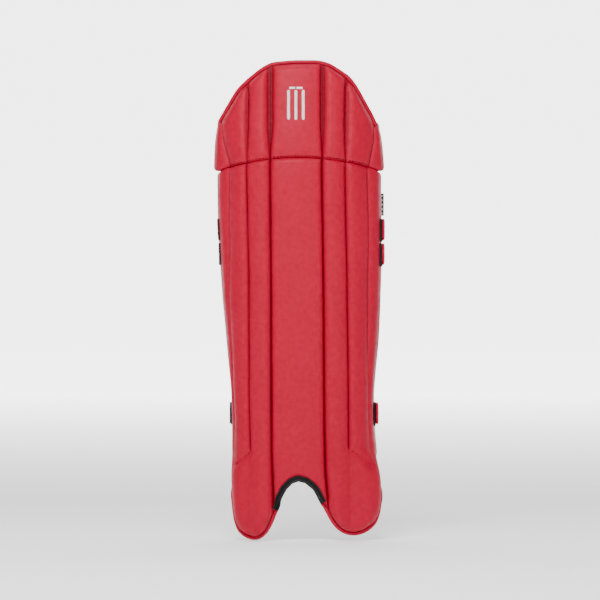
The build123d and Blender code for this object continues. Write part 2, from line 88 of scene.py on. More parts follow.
def with_edges(*lines: Knots) -> tuple[Knots, ...]:
    """Crest lines from left to right, with the wings' rear edges added at both ends."""
    left = tuple((height, x - WING_FLARE) for height, x in lines[0])
    right = tuple((height, x + WING_FLARE) for height, x in lines[-1])
    return left, *lines, right


SHIN_LINES = with_edges(
    ((0, -92), (140, -92), (205, -93.5), (330, -105), (450, -111), (540, -111)),
    ((0, -93), (90, -93), (118, -89.5), (170, -90.5), (250, -94), (330, -98.3), (540, -98.3)),
    ((0, -69.4), (121, -69.4), (200, -71.5), (360, -71.5), (500, -75)),
    ((0, -36), (55, -36.4), (124, -39.2), (360, -40), (515, -41.2)),
    ((0, 40.5), (55, 39.9), (96, 36.4), (151, 35.1), (357, 33.7), (495, 31.6)),
    ((0, 69.4), (126, 69.4), (200, 69.4), (357, 67.4), (495, 64.6)),
    ((0, 113.4), (55, 113.4), (88, 110.5), (104, 106), (126, 96), (357, 95.6), (412, 97.5), (540, 94)),
    ((0, 112.4), (55, 112.4), (137, 104.2), (170, 101.4), (204, 101.4), (270, 107), (368, 111), (540, 111)),
)
KNEE_LINES = with_edges(
    ((500, -115.8), (550, -115.4), (580, -112), (665, -111)),
    ((500, -96), (514, -97), (550, -107), (580, -109.5), (665, -110)),
    ((500, -74.5), (665, -72.5)),
    ((500, -41.2), (665, -41.2)),
    ((500, 32), (665, 32.5)),
    ((500, 64.6), (665, 66.5)),
    ((500, 96), (514, 97), (550, 104.5), (580, 104), (665, 103)),
    ((500, 116), (550, 112.5), (580, 107.5), (665, 106)),
)
SHIN_DEPTHS: tuple[Knots, ...] = (
    ((0, 86.5), (540, 86.5)), ((0, 52), (540, 52)), ((0, 32), (120, 34), (540, 34)),
    ((0, 12), (120, 13), (540, 13)), ((0, 1.5), (540, 1.5)),
)
KNEE_DEPTHS: tuple[Knots, ...] = (
    ((500, 81.5), (665, 81.5)), ((500, 53), (665, 53)), ((500, 34), (550, 40), (665, 44)),
    ((500, 13), (665, 13)), ((500, 1.5), (665, 1.5)),
)
THICKNESS = (15.0, 16.0, 20.0, 22.0, 22.0)
# Outlines of the piping's outer rim in the front view: x, height and the cover's inset there.
RIM = 5.2
TOP_OUTLINE = tuple((x, height, RIM) for x, height in (
    (-150, 560), (-119.5, 568), (-112, 580), (-86.7, 621.5), (-73.5, 634), (-54.7, 649), (-39.4, 657.8),
    (-8, 660.6), (26.2, 660.6), (42.6, 656.3), (69.1, 639.2), (79.4, 626), (102.5, 585.2), (111.5, 566.5),
    (150, 560),
))
BOTTOM_OUTLINE = (
    (-93, 58, 0.2), (-92.2, 42, 0.6), (-90, 27, 1.5), (-85, 13.5, 3.2), (-76, 4.5, 5), (-62, 0, RIM),
    (-51, 3.5, RIM), (-42, 13, RIM), (-36, 25, RIM), (-31, 40, 4.5), (-28.7, 48, 2), (-26, 57, 2),
    (-18, 71.5, 2), (-10, 79.6, 2), (-1.5, 82.5, 2), (8, 80, 2), (18.5, 71.5, 2), (28.5, 55, 2),
    (33, 46, 4.5), (36, 39, RIM), (43.5, 25, RIM), (53, 14, RIM), (63, 8.3, RIM), (75, 6.5, RIM),
    (88, 9, RIM), (98, 15, 5), (106, 25, 2.5), (111, 38, 1), (113.4, 58, 0.2),
)
WING_BOTTOM: Knots = (
    (0, 148), (0.12, 132), (0.3, 121), (0.55, 114), (0.85, 110), (1.1, 106), (1.35, 99),
    (1.6, 86), (1.85, 68), (2, 57),
)
KNEE_WING_DROP: Knots = ((0, 41), (0.06, 27), (0.17, 15), (0.35, 7), (0.65, 1), (1, -2), (1.5, -2), (2, 0))
SLIT, SLIT_START = 3.2, 1.25   # half the slit's width at the wing's rear edge, and its first column
CHANNEL_ENDS = (((-70.8, 121), (-87, 106)), ((69.4, 126.5), (100, 103.5)))


def smooth(knots: Knots, where: np.ndarray, spread: float = 8.0) -> np.ndarray:
    """Value of a knotted line, with its corners rounded.

    Args:
        knots: (position, value) pairs.
        where: Positions to read.
        spread: How far the rounding reaches.

    Returns:
        One value for each position.
    """
    table = np.array(knots, float)
    steps = np.linspace(-spread, spread, 7)
    return np.mean([np.interp(where + step, table[:, 0], table[:, 1]) for step in steps], axis=0)


def unit(vectors: np.ndarray) -> np.ndarray:
    """Vectors scaled to length 1 along their last axis."""
    return vectors / np.linalg.norm(vectors, axis=-1, keepdims=True)


def inset_outline(outline: tuple[tuple[float, float, float], ...], side: int) -> np.ndarray:
    """Outline moved by its own insets to its right (side 1) or left (side -1), mitred at its corners."""
    points, distance = np.array(outline, float)[:, :2], side * np.array(outline, float)[:, 2]
    ways = unit(np.diff(points, axis=0))
    before = np.vstack([ways[:1], ways])
    after = np.vstack([ways, ways[-1:]])
    normal = unit(before + after) @ np.array([[0.0, -1.0], [1.0, 0.0]])
    lean = np.sum(normal * (after @ np.array([[0.0, -1.0], [1.0, 0.0]])), axis=1)
    return points + normal * (distance / lean)[:, None]


def seam_height(x: np.ndarray) -> np.ndarray:
    """Height of the arched knee seam."""
    return SEAM_SIDE + SEAM_RISE * (1 - (x / HALF_WIDTH) ** 2)


def slit_gap(w: float) -> float:
    """Half the width of the slit between the wings at a column."""
    return SLIT * max(SLIT_START - min(w, LAST - w), 0) / SLIT_START


def rim_depth(w: float, knee: bool) -> float:
    """Depth of the piping's middle behind the base surface at a column."""
    wing = KNEE_WING_RIM_DEPTH if knee else WING_RIM_DEPTH
    return float(np.interp(min(w, LAST - w), (1.3, 2.4), (wing, FRONT_RIM_DEPTH)))


def path_distance(points: np.ndarray, path: np.ndarray) -> np.ndarray:
    """Distance from points to a path of straight stretches, both in the plane."""
    start, way = path[:-1], np.diff(path, axis=0)
    length = np.maximum(np.sum(way * way, axis=1), 1e-12)
    gap = points[:, None, :] - start[None]
    share = np.clip(np.sum(gap * way[None], axis=2) / length[None], 0, 1)
    return np.min(np.linalg.norm(gap - share[..., None] * way[None], axis=2), axis=1)


def dip(distance: np.ndarray, radius: float | np.ndarray, flat: float = 0.0) -> np.ndarray:
    """Round shoulder: 1 at no distance, 0 beyond the radius.

    Args:
        distance: How far each point is from the stitched line or edge.
        radius: Where the shoulder begins.
        flat: Half-width of the flat bottom.

    Returns:
        Share of the full depth at each point.
    """
    share = np.clip(1 - np.maximum(distance - flat, 0) / radius, 0, 1)
    return 1 - np.sqrt(1 - share * share)


@dataclass(frozen=True)
class Groove:
    """A stitched groove: its depth and how far its shoulders reach to the left and right."""

    depth: float
    left: float
    right: float
    flat: float = 0.9
    wide: float = 0.9          # half-width of the bottom well away from the knee seam


@dataclass
class Spot:
    """Places on a section's surface, one for each height of a column."""

    base: np.ndarray
    normal: np.ndarray
    along: np.ndarray
    to_left: np.ndarray
    to_right: np.ndarray
    panel: int
    share: float


@dataclass
class Section:
    """One half of the pad, knee or shin, as a surface over columns and heights."""

    knee: bool
    lines: tuple[Knots, ...]
    depths: tuple[Knots, ...]
    grooves: dict[int, Groove]
    crowns: tuple[float, ...]
    wrinkle: float = 0.35
    seam_shoulder: float = 6.0
    slack: float = 0.5
    edge_path: np.ndarray = field(init=False)
    seam_path: np.ndarray = field(init=False)
    slit_paths: list[np.ndarray] = field(init=False)
    known: dict[float, np.ndarray] = field(default_factory=dict)
    ends: dict[tuple[str, float], float] = field(default_factory=dict)

    def __post_init__(self) -> None:
        """Lays out the free edge, the knee seam and the slits beside it on the unrolled surface."""
        ends = np.linspace(0, LAST, 260)
        low = np.array([self.low(w) for w in ends])
        high = np.array([self.high(w) for w in ends])
        low_along = np.array([self.spot(w, np.array([z])).along[0] for w, z in zip(ends, low)])
        high_along = np.array([self.spot(w, np.array([z])).along[0] for w, z in zip(ends, high)])
        bottom, top = np.column_stack([low_along, low]), np.column_stack([high_along, high])
        rims = []
        for w, first, last in ((0, low[0], high[0]), (LAST, low[-1], high[-1])):
            heights = np.linspace(first, last, 30)
            rims.append(np.column_stack([self.spot(w, heights).along, heights]))
        sewn, free = (bottom, top) if self.knee else (top, bottom)
        inside = (ends >= 2) & (ends <= 7)
        self.seam_path = sewn[inside]
        self.slit_paths = [sewn[ends <= 2.02], sewn[ends >= 6.98]]
        self.edge_path = np.vstack([rims[0], free, rims[1][::-1]] if self.knee
                                   else [rims[0][::-1], free, rims[1]])

    def crest(self, heights: np.ndarray) -> np.ndarray:
        """The ten crest points at each height, as an array of heights by lines by (x, y)."""
        if len(heights) == 1:
            key = float(heights[0])
            if key not in self.known:
                self.known[key] = self.all_crests(heights)
            return self.known[key]
        return self.all_crests(heights)

    def all_crests(self, heights: np.ndarray) -> np.ndarray:
        """The ten crest points, worked out afresh."""
        lean = smooth(LEAN, heights)
        points = []
        for index, line in enumerate(self.lines):
            depth = self.depths[min(index, LAST - index)]
            points.append(np.stack([smooth(line, heights), smooth(depth, heights) + lean], axis=1))
        return np.stack(points, axis=1)

    def pull(self, index: int, heights: np.ndarray) -> np.ndarray:
        """How far a panel's end turns towards the next panel: half-way where no groove parts them."""
        parted = np.zeros_like(heights) if index not in self.grooves else self.fade(index, heights)
        return (0.5 - (0.5 - GROOVED_PULL) * parted)[:, None]

    def spot(self, w: float, heights: np.ndarray) -> Spot:
        """Places of one column.

        Args:
            w: Column, as a crest line's index plus a fraction.
            heights: Heights of the column's points.

        Returns:
            Base points, inward normals and distances along the unrolled surface.
        """
        crest = self.crest(heights)
        panel = min(int(w), LAST - 1)
        share = w - panel
        steps = np.diff(crest, axis=1)
        sizes = np.linalg.norm(steps, axis=2)
        ways = steps / sizes[..., None]
        own = ways[:, panel]
        before = ways[:, max(panel - 1, 0)]
        after = ways[:, min(panel + 1, LAST - 1)]
        first_pull, last_pull = (self.pull(index, heights) for index in (panel, panel + 1))
        size = sizes[:, panel][:, None]
        m0 = unit(own * (1 - first_pull) + before * first_pull) * size
        m1 = unit(own * (1 - last_pull) + after * last_pull) * size
        p0, p1 = crest[:, panel], crest[:, panel + 1]
        t = share
        base = ((2 * t ** 3 - 3 * t ** 2 + 1) * p0 + (t ** 3 - 2 * t ** 2 + t) * m0
                + (3 * t ** 2 - 2 * t ** 3) * p1 + (t ** 3 - t ** 2) * m1)
        if share < 1e-9 and panel > 0:
            way = unit(before + own)
        elif share > 1 - 1e-9 and panel < LAST - 1:
            way = unit(own + after)
        else:
            way = unit((6 * t * t - 6 * t) * p0 + (3 * t * t - 4 * t + 1) * m0
                       + (6 * t - 6 * t * t) * p1 + (3 * t * t - 2 * t) * m1)
        normal = np.stack([-way[:, 1], way[:, 0]], axis=1)
        middle = np.sum(sizes[:, :4], axis=1) + sizes[:, 4] / 2
        along = np.sum(sizes[:, :panel], axis=1) + share * sizes[:, panel] - middle
        return Spot(base, normal, along, share * sizes[:, panel], (1 - share) * sizes[:, panel],
                    panel, share)

    def front_x(self, w: float, height: float) -> float:
        """Place in the front view of a column at a height."""
        return float(self.spot(w, np.array([height])).base[0, 0])

    def low(self, w: float) -> float:
        """Lowest height of a column."""
        w = round(w, 6)
        if ("low", w) not in self.ends:
            self.ends["low", w] = self.find_low(w)
        return self.ends["low", w]

    def high(self, w: float) -> float:
        """Highest height of a column."""
        w = round(w, 6)
        if ("high", w) not in self.ends:
            self.ends["high", w] = self.find_high(w)
        return self.ends["high", w]

    def find_low(self, w: float) -> float:
        """Lowest height of a column, worked out afresh."""
        if self.knee:
            return float(seam_height(np.array(self.front_x(w, 512.0)))) + slit_gap(w)
        if w < 2 or w > 7:
            return float(np.interp(min(w, LAST - w), *np.array(WING_BOTTOM).T))
        outline = inset_outline(BOTTOM_OUTLINE, -1)
        return self.settle(w, 60.0, outline)

    def find_high(self, w: float) -> float:
        """Highest height of a column, worked out afresh."""
        if not self.knee:
            return float(seam_height(np.array(self.front_x(w, 512.0)))) - slit_gap(w)
        if w < 2 or w > 7:
            drop = float(np.interp(min(w, LAST - w), *np.array(KNEE_WING_DROP).T))
            return self.high(2.0 if w < 2 else 7.0) - drop
        outline = inset_outline(TOP_OUTLINE, 1)
        return self.settle(w, 620.0, outline)

    def settle(self, w: float, height: float, outline: np.ndarray) -> float:
        """Height where a column meets an outline, starting from a guess."""
        for _ in range(12):
            before, height = height, float(np.interp(self.front_x(w, height), outline[:, 0], outline[:, 1]))
            if abs(height - before) < 0.02:
                break
        return height

    def fade(self, index: int, heights: np.ndarray) -> np.ndarray:
        """Share of a groove's depth that is left at each height."""
        if self.knee or index in (4, 5):
            return np.ones_like(heights)
        if index in (3, 6):
            end = CHANNEL_ENDS[0 if index == 3 else 1][0][1]
            return np.clip((heights - end + 2) / CHANNEL_FADE, 0, 1)
        return np.clip((heights - WING_GROOVE_START) / WING_GROOVE_FADE, 0, 1)

    def spots(self, place: Spot, heights: np.ndarray) -> np.ndarray:
        """Places on the unrolled surface."""
        return np.column_stack([place.along, heights])

    def backward(self, place: Spot) -> np.ndarray:
        """Direction in which a free edge rolls away: straight back in front, square on the wings."""
        w = place.panel + place.share
        front = np.clip((min(w, LAST - w) - 1.2) / 0.8, 0, 1)
        return unit(place.normal * (1 - front) + np.array([0.0, 1.0]) * front)

    def sewn_depth(self, place: Spot, heights: np.ndarray) -> np.ndarray:
        """How far the cover lies behind the base surface in its grooves and at the knee seam."""
        spots = self.spots(place, heights)
        seam_gap = path_distance(spots, self.seam_path)
        parts, stitched = [], np.zeros_like(heights)
        for index, gap, side in ((place.panel, place.to_left, "right"),
                                 (place.panel + 1, place.to_right, "left")):
            groove = self.grooves.get(index)
            if groove:
                share = np.clip((seam_gap - WELL_START) / WELL_REACH, 0, 1)
                flat = groove.flat + (groove.wide - groove.flat) * share
                dipped = dip(gap, getattr(groove, side), flat)
                parts.append(groove.depth * self.fade(index, heights) * dipped)
                near = np.exp(-((gap - PUCKER_PLACE) / PUCKER_SPREAD) ** 2)
                stitched = stitched + self.fade(index, heights) * near
        parts.append(SEAM_DEPTH * dip(seam_gap, self.seam_shoulder, 0.3))
        if not self.knee:
            front = np.column_stack([place.base[:, 0], heights])
            for end in CHANNEL_ENDS:
                gap = path_distance(front, np.array(end))
                parts.append(CHANNEL_END_DEPTH * dip(gap, CHANNEL_END_SHOULDER, 0.6))
        depth = np.sum(np.array(parts) ** 3, axis=0) ** (1 / 3)
        ripple = (np.sin(heights / 2.3 + 1.7 * place.panel) + np.sin(heights / 1.37 + 0.6)
                  + np.sin(heights / 3.9 + 2.1 * place.panel + 1))
        pucker = self.wrinkle * ripple / 3 * stitched
        cross = np.sin(place.along / 1.9 + 0.4) + np.sin(place.along / 3.1 + 1.2)
        pucker += SEAM_PUCKER * cross / 2 * np.exp(-((seam_gap - 5) / 4.5) ** 2)
        slack = self.slack * np.sin(heights / 31 + 1.3) * np.sin(place.along / 17 + heights / 53)
        return depth - self.crown(place) + pucker + slack

    def crown(self, place: Spot) -> float:
        """How far a panel swells between its crest lines, which it meets flat."""
        return self.crowns[place.panel] * (1 - (2 * place.share - 1) ** 2) ** 1.5

    def edge_roll(self, place: Spot, heights: np.ndarray) -> np.ndarray:
        """How far the cover has rolled away towards a free edge or a slit."""
        spots = self.spots(place, heights)
        w = place.panel + place.share
        rolled = (rim_depth(w, self.knee) - 1.5) * dip(path_distance(spots, self.edge_path), EDGE_SHOULDER)
        for path in self.slit_paths:
            rolled = np.maximum(rolled, SLIT_ROLL * dip(path_distance(spots, path), SLIT_SHOULDER))
        return rolled

    def on_cover(self, place: Spot, heights: np.ndarray, proud: float = 0.0) -> tuple[np.ndarray, np.ndarray]:
        """Points of the cover, in layout millimetres, and how deep in a groove or rolled edge each lies,
        which is the share of painted shade given to the leather there.
        """
        sewn, rolled = self.sewn_depth(place, heights), self.edge_roll(place, heights)
        keep = 1 - np.clip(rolled / 8, 0, 1)
        flat = (place.base + place.normal * (sewn * keep - proud)[:, None]
                + self.backward(place) * rolled[:, None])
        # The second value sets the painted shade: deeper in grooves, at the knee seam and on rolled edges.
        return np.column_stack([flat, heights]), np.clip(np.maximum(sewn, rolled * 0.7) / 7, 0, 1)

    def point(self, w: float, height: float, proud: float = 0.0) -> Vector:
        """Place on the cover, in the frame's metres, raised by a distance in millimetres."""
        heights = np.array([height])
        return Vector(to_frame(self.on_cover(self.spot(w, heights), heights, proud)[0])[0])

    def column_at(self, x: float, height: float) -> float:
        """Column that stands at x in the front view at a height."""
        low, high = 2.0, 7.0
        for _ in range(17):
            middle = (low + high) / 2
            if self.front_x(middle, height) < x:
                low = middle
            else:
                high = middle
        return (low + high) / 2


GROOVED_PULL = 0.22
SEAM_DEPTH = 5.0
SLIT_ROLL, SLIT_SHOULDER = 4.5, 6.0
EDGE_SHOULDER = 10.0
WING_RIM_DEPTH, KNEE_WING_RIM_DEPTH, FRONT_RIM_DEPTH = 7.0, 3.2, 11.5
CHANNEL_END_DEPTH, CHANNEL_END_SHOULDER = 3.6, 8.0
CHANNEL_FADE = 7.0         # height over which an outer channel dies out
WING_GROOVE_START, WING_GROOVE_FADE = 125.0, 60.0
WELL_START, WELL_REACH = 3.0, 42.0     # where a knee groove starts to widen from the seam, and how far
PUCKER_PLACE, PUCKER_SPREAD = 4.0, 3.5
SEAM_PUCKER = 0.5
LINING_BEHIND = 6.7        # from the foam's rear face to the lining's rear face
LINING_SHOULDER, LINING_PULL = 12.0, 3.0
QUILT_PITCH, QUILT_DEPTH = 26.0, 0.25


def to_frame(points: np.ndarray) -> np.ndarray:
    """Layout millimetres to the frame's metres."""
    return (points + LAYOUT_SHIFT) * MM


def deepest(grid: np.ndarray) -> np.ndarray:
    """Largest value among each place of a grid and its neighbours."""
    wide = np.pad(grid, 1, mode="edge")
    rows, columns = grid.shape
    return np.max([wide[i:i + rows, j:j + columns] for i in range(3) for j in range(3)], axis=0)


def crowded(length: float, count: int, ends: Sequence[float]) -> np.ndarray:
    """Positions from 0 to a length, crowded at both ends.

    Args:
        length: Whole length.
        count: Number of positions between the crowded ends.
        ends: Distances from either end, drawn together where the length is short.

    Returns:
        Sorted positions, both ends included.
    """
    near = np.array(ends) * min(1.0, length / (3 * ends[-1]))
    middle = np.linspace(near[-1], length - near[-1], count)
    return np.concatenate([near[:-1], middle, (length - near[:-1])[::-1]])


# --- Meshes ---


def as_object(name: str, points: np.ndarray, faces: Sequence[Sequence[int]],
              uv: np.ndarray | None = None, values: dict[str, np.ndarray] | None = None
              ) -> bpy.types.Object:
    """Makes a mesh object in the frame's metres.

    Args:
        name: Name of the piece.
        points: One row for each vertex.
        faces: Vertex numbers of each face.
        uv: Coordinates of each vertex on the cloth, in metres.
        values: Named numbers for each vertex, for the finishes.

    Returns:
        The object, linked to the scene.
    """
    mesh = bpy.data.meshes.new(name)
    mesh.from_pydata([tuple(point) for point in points], [], [tuple(face) for face in faces])
    if uv is not None:
        layer = mesh.uv_layers.new(name="Cloth")
        corners = np.empty(len(mesh.loops), np.int32)
        mesh.loops.foreach_get("vertex_index", corners)
        layer.data.foreach_set("uv", np.asarray(uv, np.float32)[corners].ravel())
    for key, numbers in (values or {}).items():
        mesh.attributes.new(key, "FLOAT", "POINT").data.foreach_set(
            "value", np.asarray(numbers, np.float32).ravel())
    mesh.polygons.foreach_set("use_smooth", [True] * len(mesh.polygons))
    mesh.update()
    made = bpy.data.objects.new(name, mesh)
    bpy.context.scene.collection.objects.link(made)
    return made


def grid_faces(across: int, along: int, ring: bool = False, turned: bool = False) -> list[tuple[int, ...]]:
    """Faces of a grid of points.

    Args:
        across: Number of columns.
        along: Number of points in a column.
        ring: Whether each column closes on itself.
        turned: Whether the faces look the other way.

    Returns:
        Vertex numbers of each face.
    """
    faces = []
    for i in range(across - 1):
        for j in range(along if ring else along - 1):
            k = (j + 1) % along
            face = (i * along + j, (i + 1) * along + j, (i + 1) * along + k, i * along + k)
            faces.append(face[::-1] if turned else face)
    return faces


def finish_with(piece: bpy.types.Object, kind: str, **settings: float | int | bool | str) -> None:
    """Adds a modifier, sets it and applies it to the mesh."""
    modifier = piece.modifiers.new(kind.title(), kind)
    for key, value in settings.items():
        setattr(modifier, key, value)
    apply_modifiers(piece)


def apply_modifiers(piece: bpy.types.Object) -> None:
    """Turns a piece's modifiers into plain mesh."""
    graph = bpy.context.evaluated_depsgraph_get()
    graph.update()
    old = piece.data
    piece.data = bpy.data.meshes.new_from_object(piece.evaluated_get(graph), depsgraph=graph)
    piece.modifiers.clear()
    piece.data.name = piece.name
    bpy.data.meshes.remove(old)


def tidy_normals(piece: bpy.types.Object) -> None:
    """Merges doubled points and turns the faces outwards."""
    shape = bmesh.new()
    shape.from_mesh(piece.data)
    bmesh.ops.remove_doubles(shape, verts=shape.verts, dist=1e-6)
    bmesh.ops.recalc_face_normals(shape, faces=shape.faces)
    shape.to_mesh(piece.data)
    shape.free()


def closed_slab(name: str, front: np.ndarray, back: np.ndarray, uv: np.ndarray | None = None
                ) -> bpy.types.Object:
    """Closed solid between two grids of points of the same size.

    Args:
        name: Name of the piece.
        front: Grid of the outer face, columns by points by (x, y, z), in metres.
        back: Grid of the inner face.
        uv: Cloth coordinates of the outer grid, used for both faces.

    Returns:
        The solid.
    """
    across, along = front.shape[:2]
    count = across * along
    faces = grid_faces(across, along)
    faces += [tuple(index + count for index in face[::-1]) for face in grid_faces(across, along)]
    rim = ([i * along for i in range(across)] + [(across - 1) * along + j for j in range(1, along)]
           + [i * along + along - 1 for i in range(across - 2, -1, -1)]
           + [j for j in range(along - 2, 0, -1)])
    for a, b in zip(rim, rim[1:] + rim[:1]):
        faces.append((b, a, a + count, b + count))
    points = np.vstack([front.reshape(-1, 3), back.reshape(-1, 3)])
    both = None if uv is None else np.vstack([uv.reshape(-1, 2)] * 2)
    return as_object(name, points, faces, both)


def slab_by(name: str, across: Sequence[float], along: Sequence[float],
            place: Callable[[float, float], tuple[Sequence[float], ...]]) -> bpy.types.Object:
    """Closed solid whose two faces are worked out place by place.

    Args:
        name: Name of the piece.
        across: Steps from column to column.
        along: Steps along each column.
        place: Gives the outer point, the inner point and, where wanted, the cloth coordinates.

    Returns:
        The solid.
    """
    rows = [[place(u, v) for v in along] for u in across]
    return closed_slab(name, *(np.array([[spot[part] for spot in row] for row in rows])
                               for part in range(len(rows[0][0]))))


def swept(name: str, path: np.ndarray, profile: np.ndarray, up: np.ndarray) -> bpy.types.Object:
    """Solid whose closed section follows a path.

    Args:
        name: Name of the piece.
        path: Points of the path, in metres.
        profile: Points of the section (sideways, upwards), in metres.
        up: Direction that the section's second axis leans to, one for each point of the path.

    Returns:
        The solid, with cloth coordinates round and along it.
    """
    ways = unit(np.gradient(path, axis=0))
    side = unit(np.cross(ways, up))
    rise = np.cross(side, ways)
    rings = (path[:, None, :] + profile[None, :, 0, None] * side[:, None, :]
             + profile[None, :, 1, None] * rise[:, None, :])
    count = len(profile)
    around = np.concatenate([[0], np.cumsum(np.linalg.norm(np.diff(profile, axis=0), axis=1))])
    length = np.concatenate([[0], np.cumsum(np.linalg.norm(np.diff(path, axis=0), axis=1))])
    uv = np.stack(np.meshgrid(around, length), axis=-1)
    faces = grid_faces(len(path), count, ring=True)
    last = (len(path) - 1) * count
    faces += [tuple(range(count)), tuple(last + j for j in reversed(range(count)))]
    made = as_object(name, rings.reshape(-1, 3), faces, uv.reshape(-1, 2))
    tidy_normals(made)
    return made


def round_profile(radius: float, sides: int = 12) -> np.ndarray:
    """Section of a round piping."""
    turn = np.linspace(0, 2 * math.pi, sides, endpoint=False)
    return radius * np.stack([np.cos(turn), np.sin(turn)], axis=1)


def ribbon_profile(width: float, thick: float, corner: float = 0.35) -> np.ndarray:
    """Section of flat webbing with soft edges.

    Args:
        width: Width, along the section's second axis.
        thick: Thickness, along its first axis.
        corner: Share of the thickness that the edges round off.

    Returns:
        Points of the closed section.
    """
    half, edge, soft = thick / 2, width / 2, thick * corner
    rows = np.linspace(-edge + 2 * soft, edge - 2 * soft, 7)
    rim = [(half * 0.75, edge - soft * 0.8), (0.0, edge), (-half * 0.75, edge - soft * 0.8)]
    points = [(half, z) for z in rows] + rim + [(-half, z) for z in rows[::-1]]
    points += [(x, -z) for x, z in rim[::-1]]
    return np.array(points)


# --- Finishes ---


class Wire:
    """A socket whose number can be used in an expression."""

    def __init__(self, finish: "Finish", socket: bpy.types.NodeSocket) -> None:
        """Keeps the socket and the finish whose nodes it belongs to."""
        self.finish, self.socket = finish, socket

    def _math(self, kind: str, *values: "Wire | float") -> "Wire":
        """Adds a Math node on numbers."""
        return self.finish.node("ShaderNodeMath", {"operation": kind}, dict(enumerate(values)))

    def __add__(self, other: "Wire | float") -> "Wire":
        """Sum."""
        return self._math("ADD", self, other)

    def __sub__(self, other: "Wire | float") -> "Wire":
        """Difference."""
        return self._math("SUBTRACT", self, other)

    def __rsub__(self, other: float) -> "Wire":
        """Difference from a plain number."""
        return self._math("SUBTRACT", other, self)

    def __mul__(self, other: "Wire | float") -> "Wire":
        """Product."""
        return self._math("MULTIPLY", self, other)

    def __truediv__(self, other: "Wire | float") -> "Wire":
        """Quotient."""
        return self._math("DIVIDE", self, other)

    def __pow__(self, other: float) -> "Wire":
        """Power."""
        return self._math("POWER", self, other)

    __radd__ = __add__
    __rmul__ = __mul__

    def sine(self) -> "Wire":
        """Sine of an angle in radians."""
        return self._math("SINE", self)

    def size(self) -> "Wire":
        """Value without its sign."""
        return self._math("ABSOLUTE", self)

    def greater(self, other: "Wire | float") -> "Wire":
        """1 where this is more than the other, 0 elsewhere."""
        return self._math("GREATER_THAN", self, other)

    def repeat(self, step: float) -> "Wire":
        """Place within a step that repeats, from 0 to 1."""
        return self._math("FRACT", self / step)

    def between(self, low: float, high: float) -> "Wire":
        """Ramp from 0 at low to 1 at high."""
        return self.finish.node("ShaderNodeMapRange", {"clamp": True},
                                {"Value": self, "From Min": low, "From Max": high})


Value = float | tuple[float, ...] | Wire


class Finish:
    """Base of a material: its nodes and its surface shader."""

    def __init__(self, name: str) -> None:
        """Makes an empty material with its output."""
        self.material = bpy.data.materials.new(name)
        self.material.use_nodes = True
        self.nodes = self.material.node_tree.nodes
        self.links = self.material.node_tree.links
        self.nodes.clear()
        self.output = self.nodes.new("ShaderNodeOutputMaterial")

    def node(self, kind: str, settings: dict | None = None, values: dict | None = None,
             out: str | int = 0) -> Wire:
        """Adds a node.

        Args:
            kind: Type of the node.
            settings: Its own settings, set before its sockets.
            values: Numbers, colours or wires for its sockets, by name or number.
            out: Output socket to hand back.

        Returns:
            The output as a wire.
        """
        made = self.nodes.new(kind)
        for key, value in (settings or {}).items():
            setattr(made, key, value)
        for key, value in (values or {}).items():
            if isinstance(value, Wire):
                self.links.new(value.socket, made.inputs[key])
            else:
                made.inputs[key].default_value = value
        return Wire(self, made.outputs[out])

    def place(self) -> Wire:
        """Object coordinates, in metres."""
        return self.node("ShaderNodeTexCoord", out="Object")

    def cloth(self) -> tuple[Wire, Wire]:
        """Cloth coordinates across and along the piece, in metres."""
        uv = self.node("ShaderNodeUVMap", {"uv_map": "Cloth"})
        parts = self.node("ShaderNodeSeparateXYZ", values={0: uv})
        return parts, Wire(self, parts.socket.node.outputs[1])

    def noise(self, scale: float, detail: float = 2.0) -> Wire:
        """Soft noise with a number of waves to the metre."""
        return self.node("ShaderNodeTexNoise",
                         values={"Vector": self.place(), "Scale": scale, "Detail": detail})

    def mix(self, share: Wire | float, first: Value, second: Value) -> Wire:
        """Mixes two colours."""
        ends = [colour if isinstance(colour, Wire) else (*colour, 1) for colour in (first, second)]
        return self.node("ShaderNodeMix", {"data_type": "RGBA"}, {0: share, 6: ends[0], 7: ends[1]}, 2)

    def bump(self, height: Wire, depth: float, strength: float = 1.0, under: Wire | None = None) -> Wire:
        """Bump from a height between 0 and 1 that stands for a depth in metres."""
        values: dict = {"Height": height, "Strength": strength, "Distance": depth}
        if under:
            values["Normal"] = under
        return self.node("ShaderNodeBump", values=values)

    def surface(self, **values: Value) -> None:
        """Puts the surface shader on the output, with its sockets' values by name."""
        named = {key.replace("_", " "): value for key, value in values.items()}
        named = {key: (*value, 1) if isinstance(value, tuple) and len(value) == 3 else value
                 for key, value in named.items()}
        shader = self.node("ShaderNodeBsdfPrincipled", values=named)
        self.links.new(shader.socket, self.output.inputs["Surface"])


Colour = tuple[float, float, float]


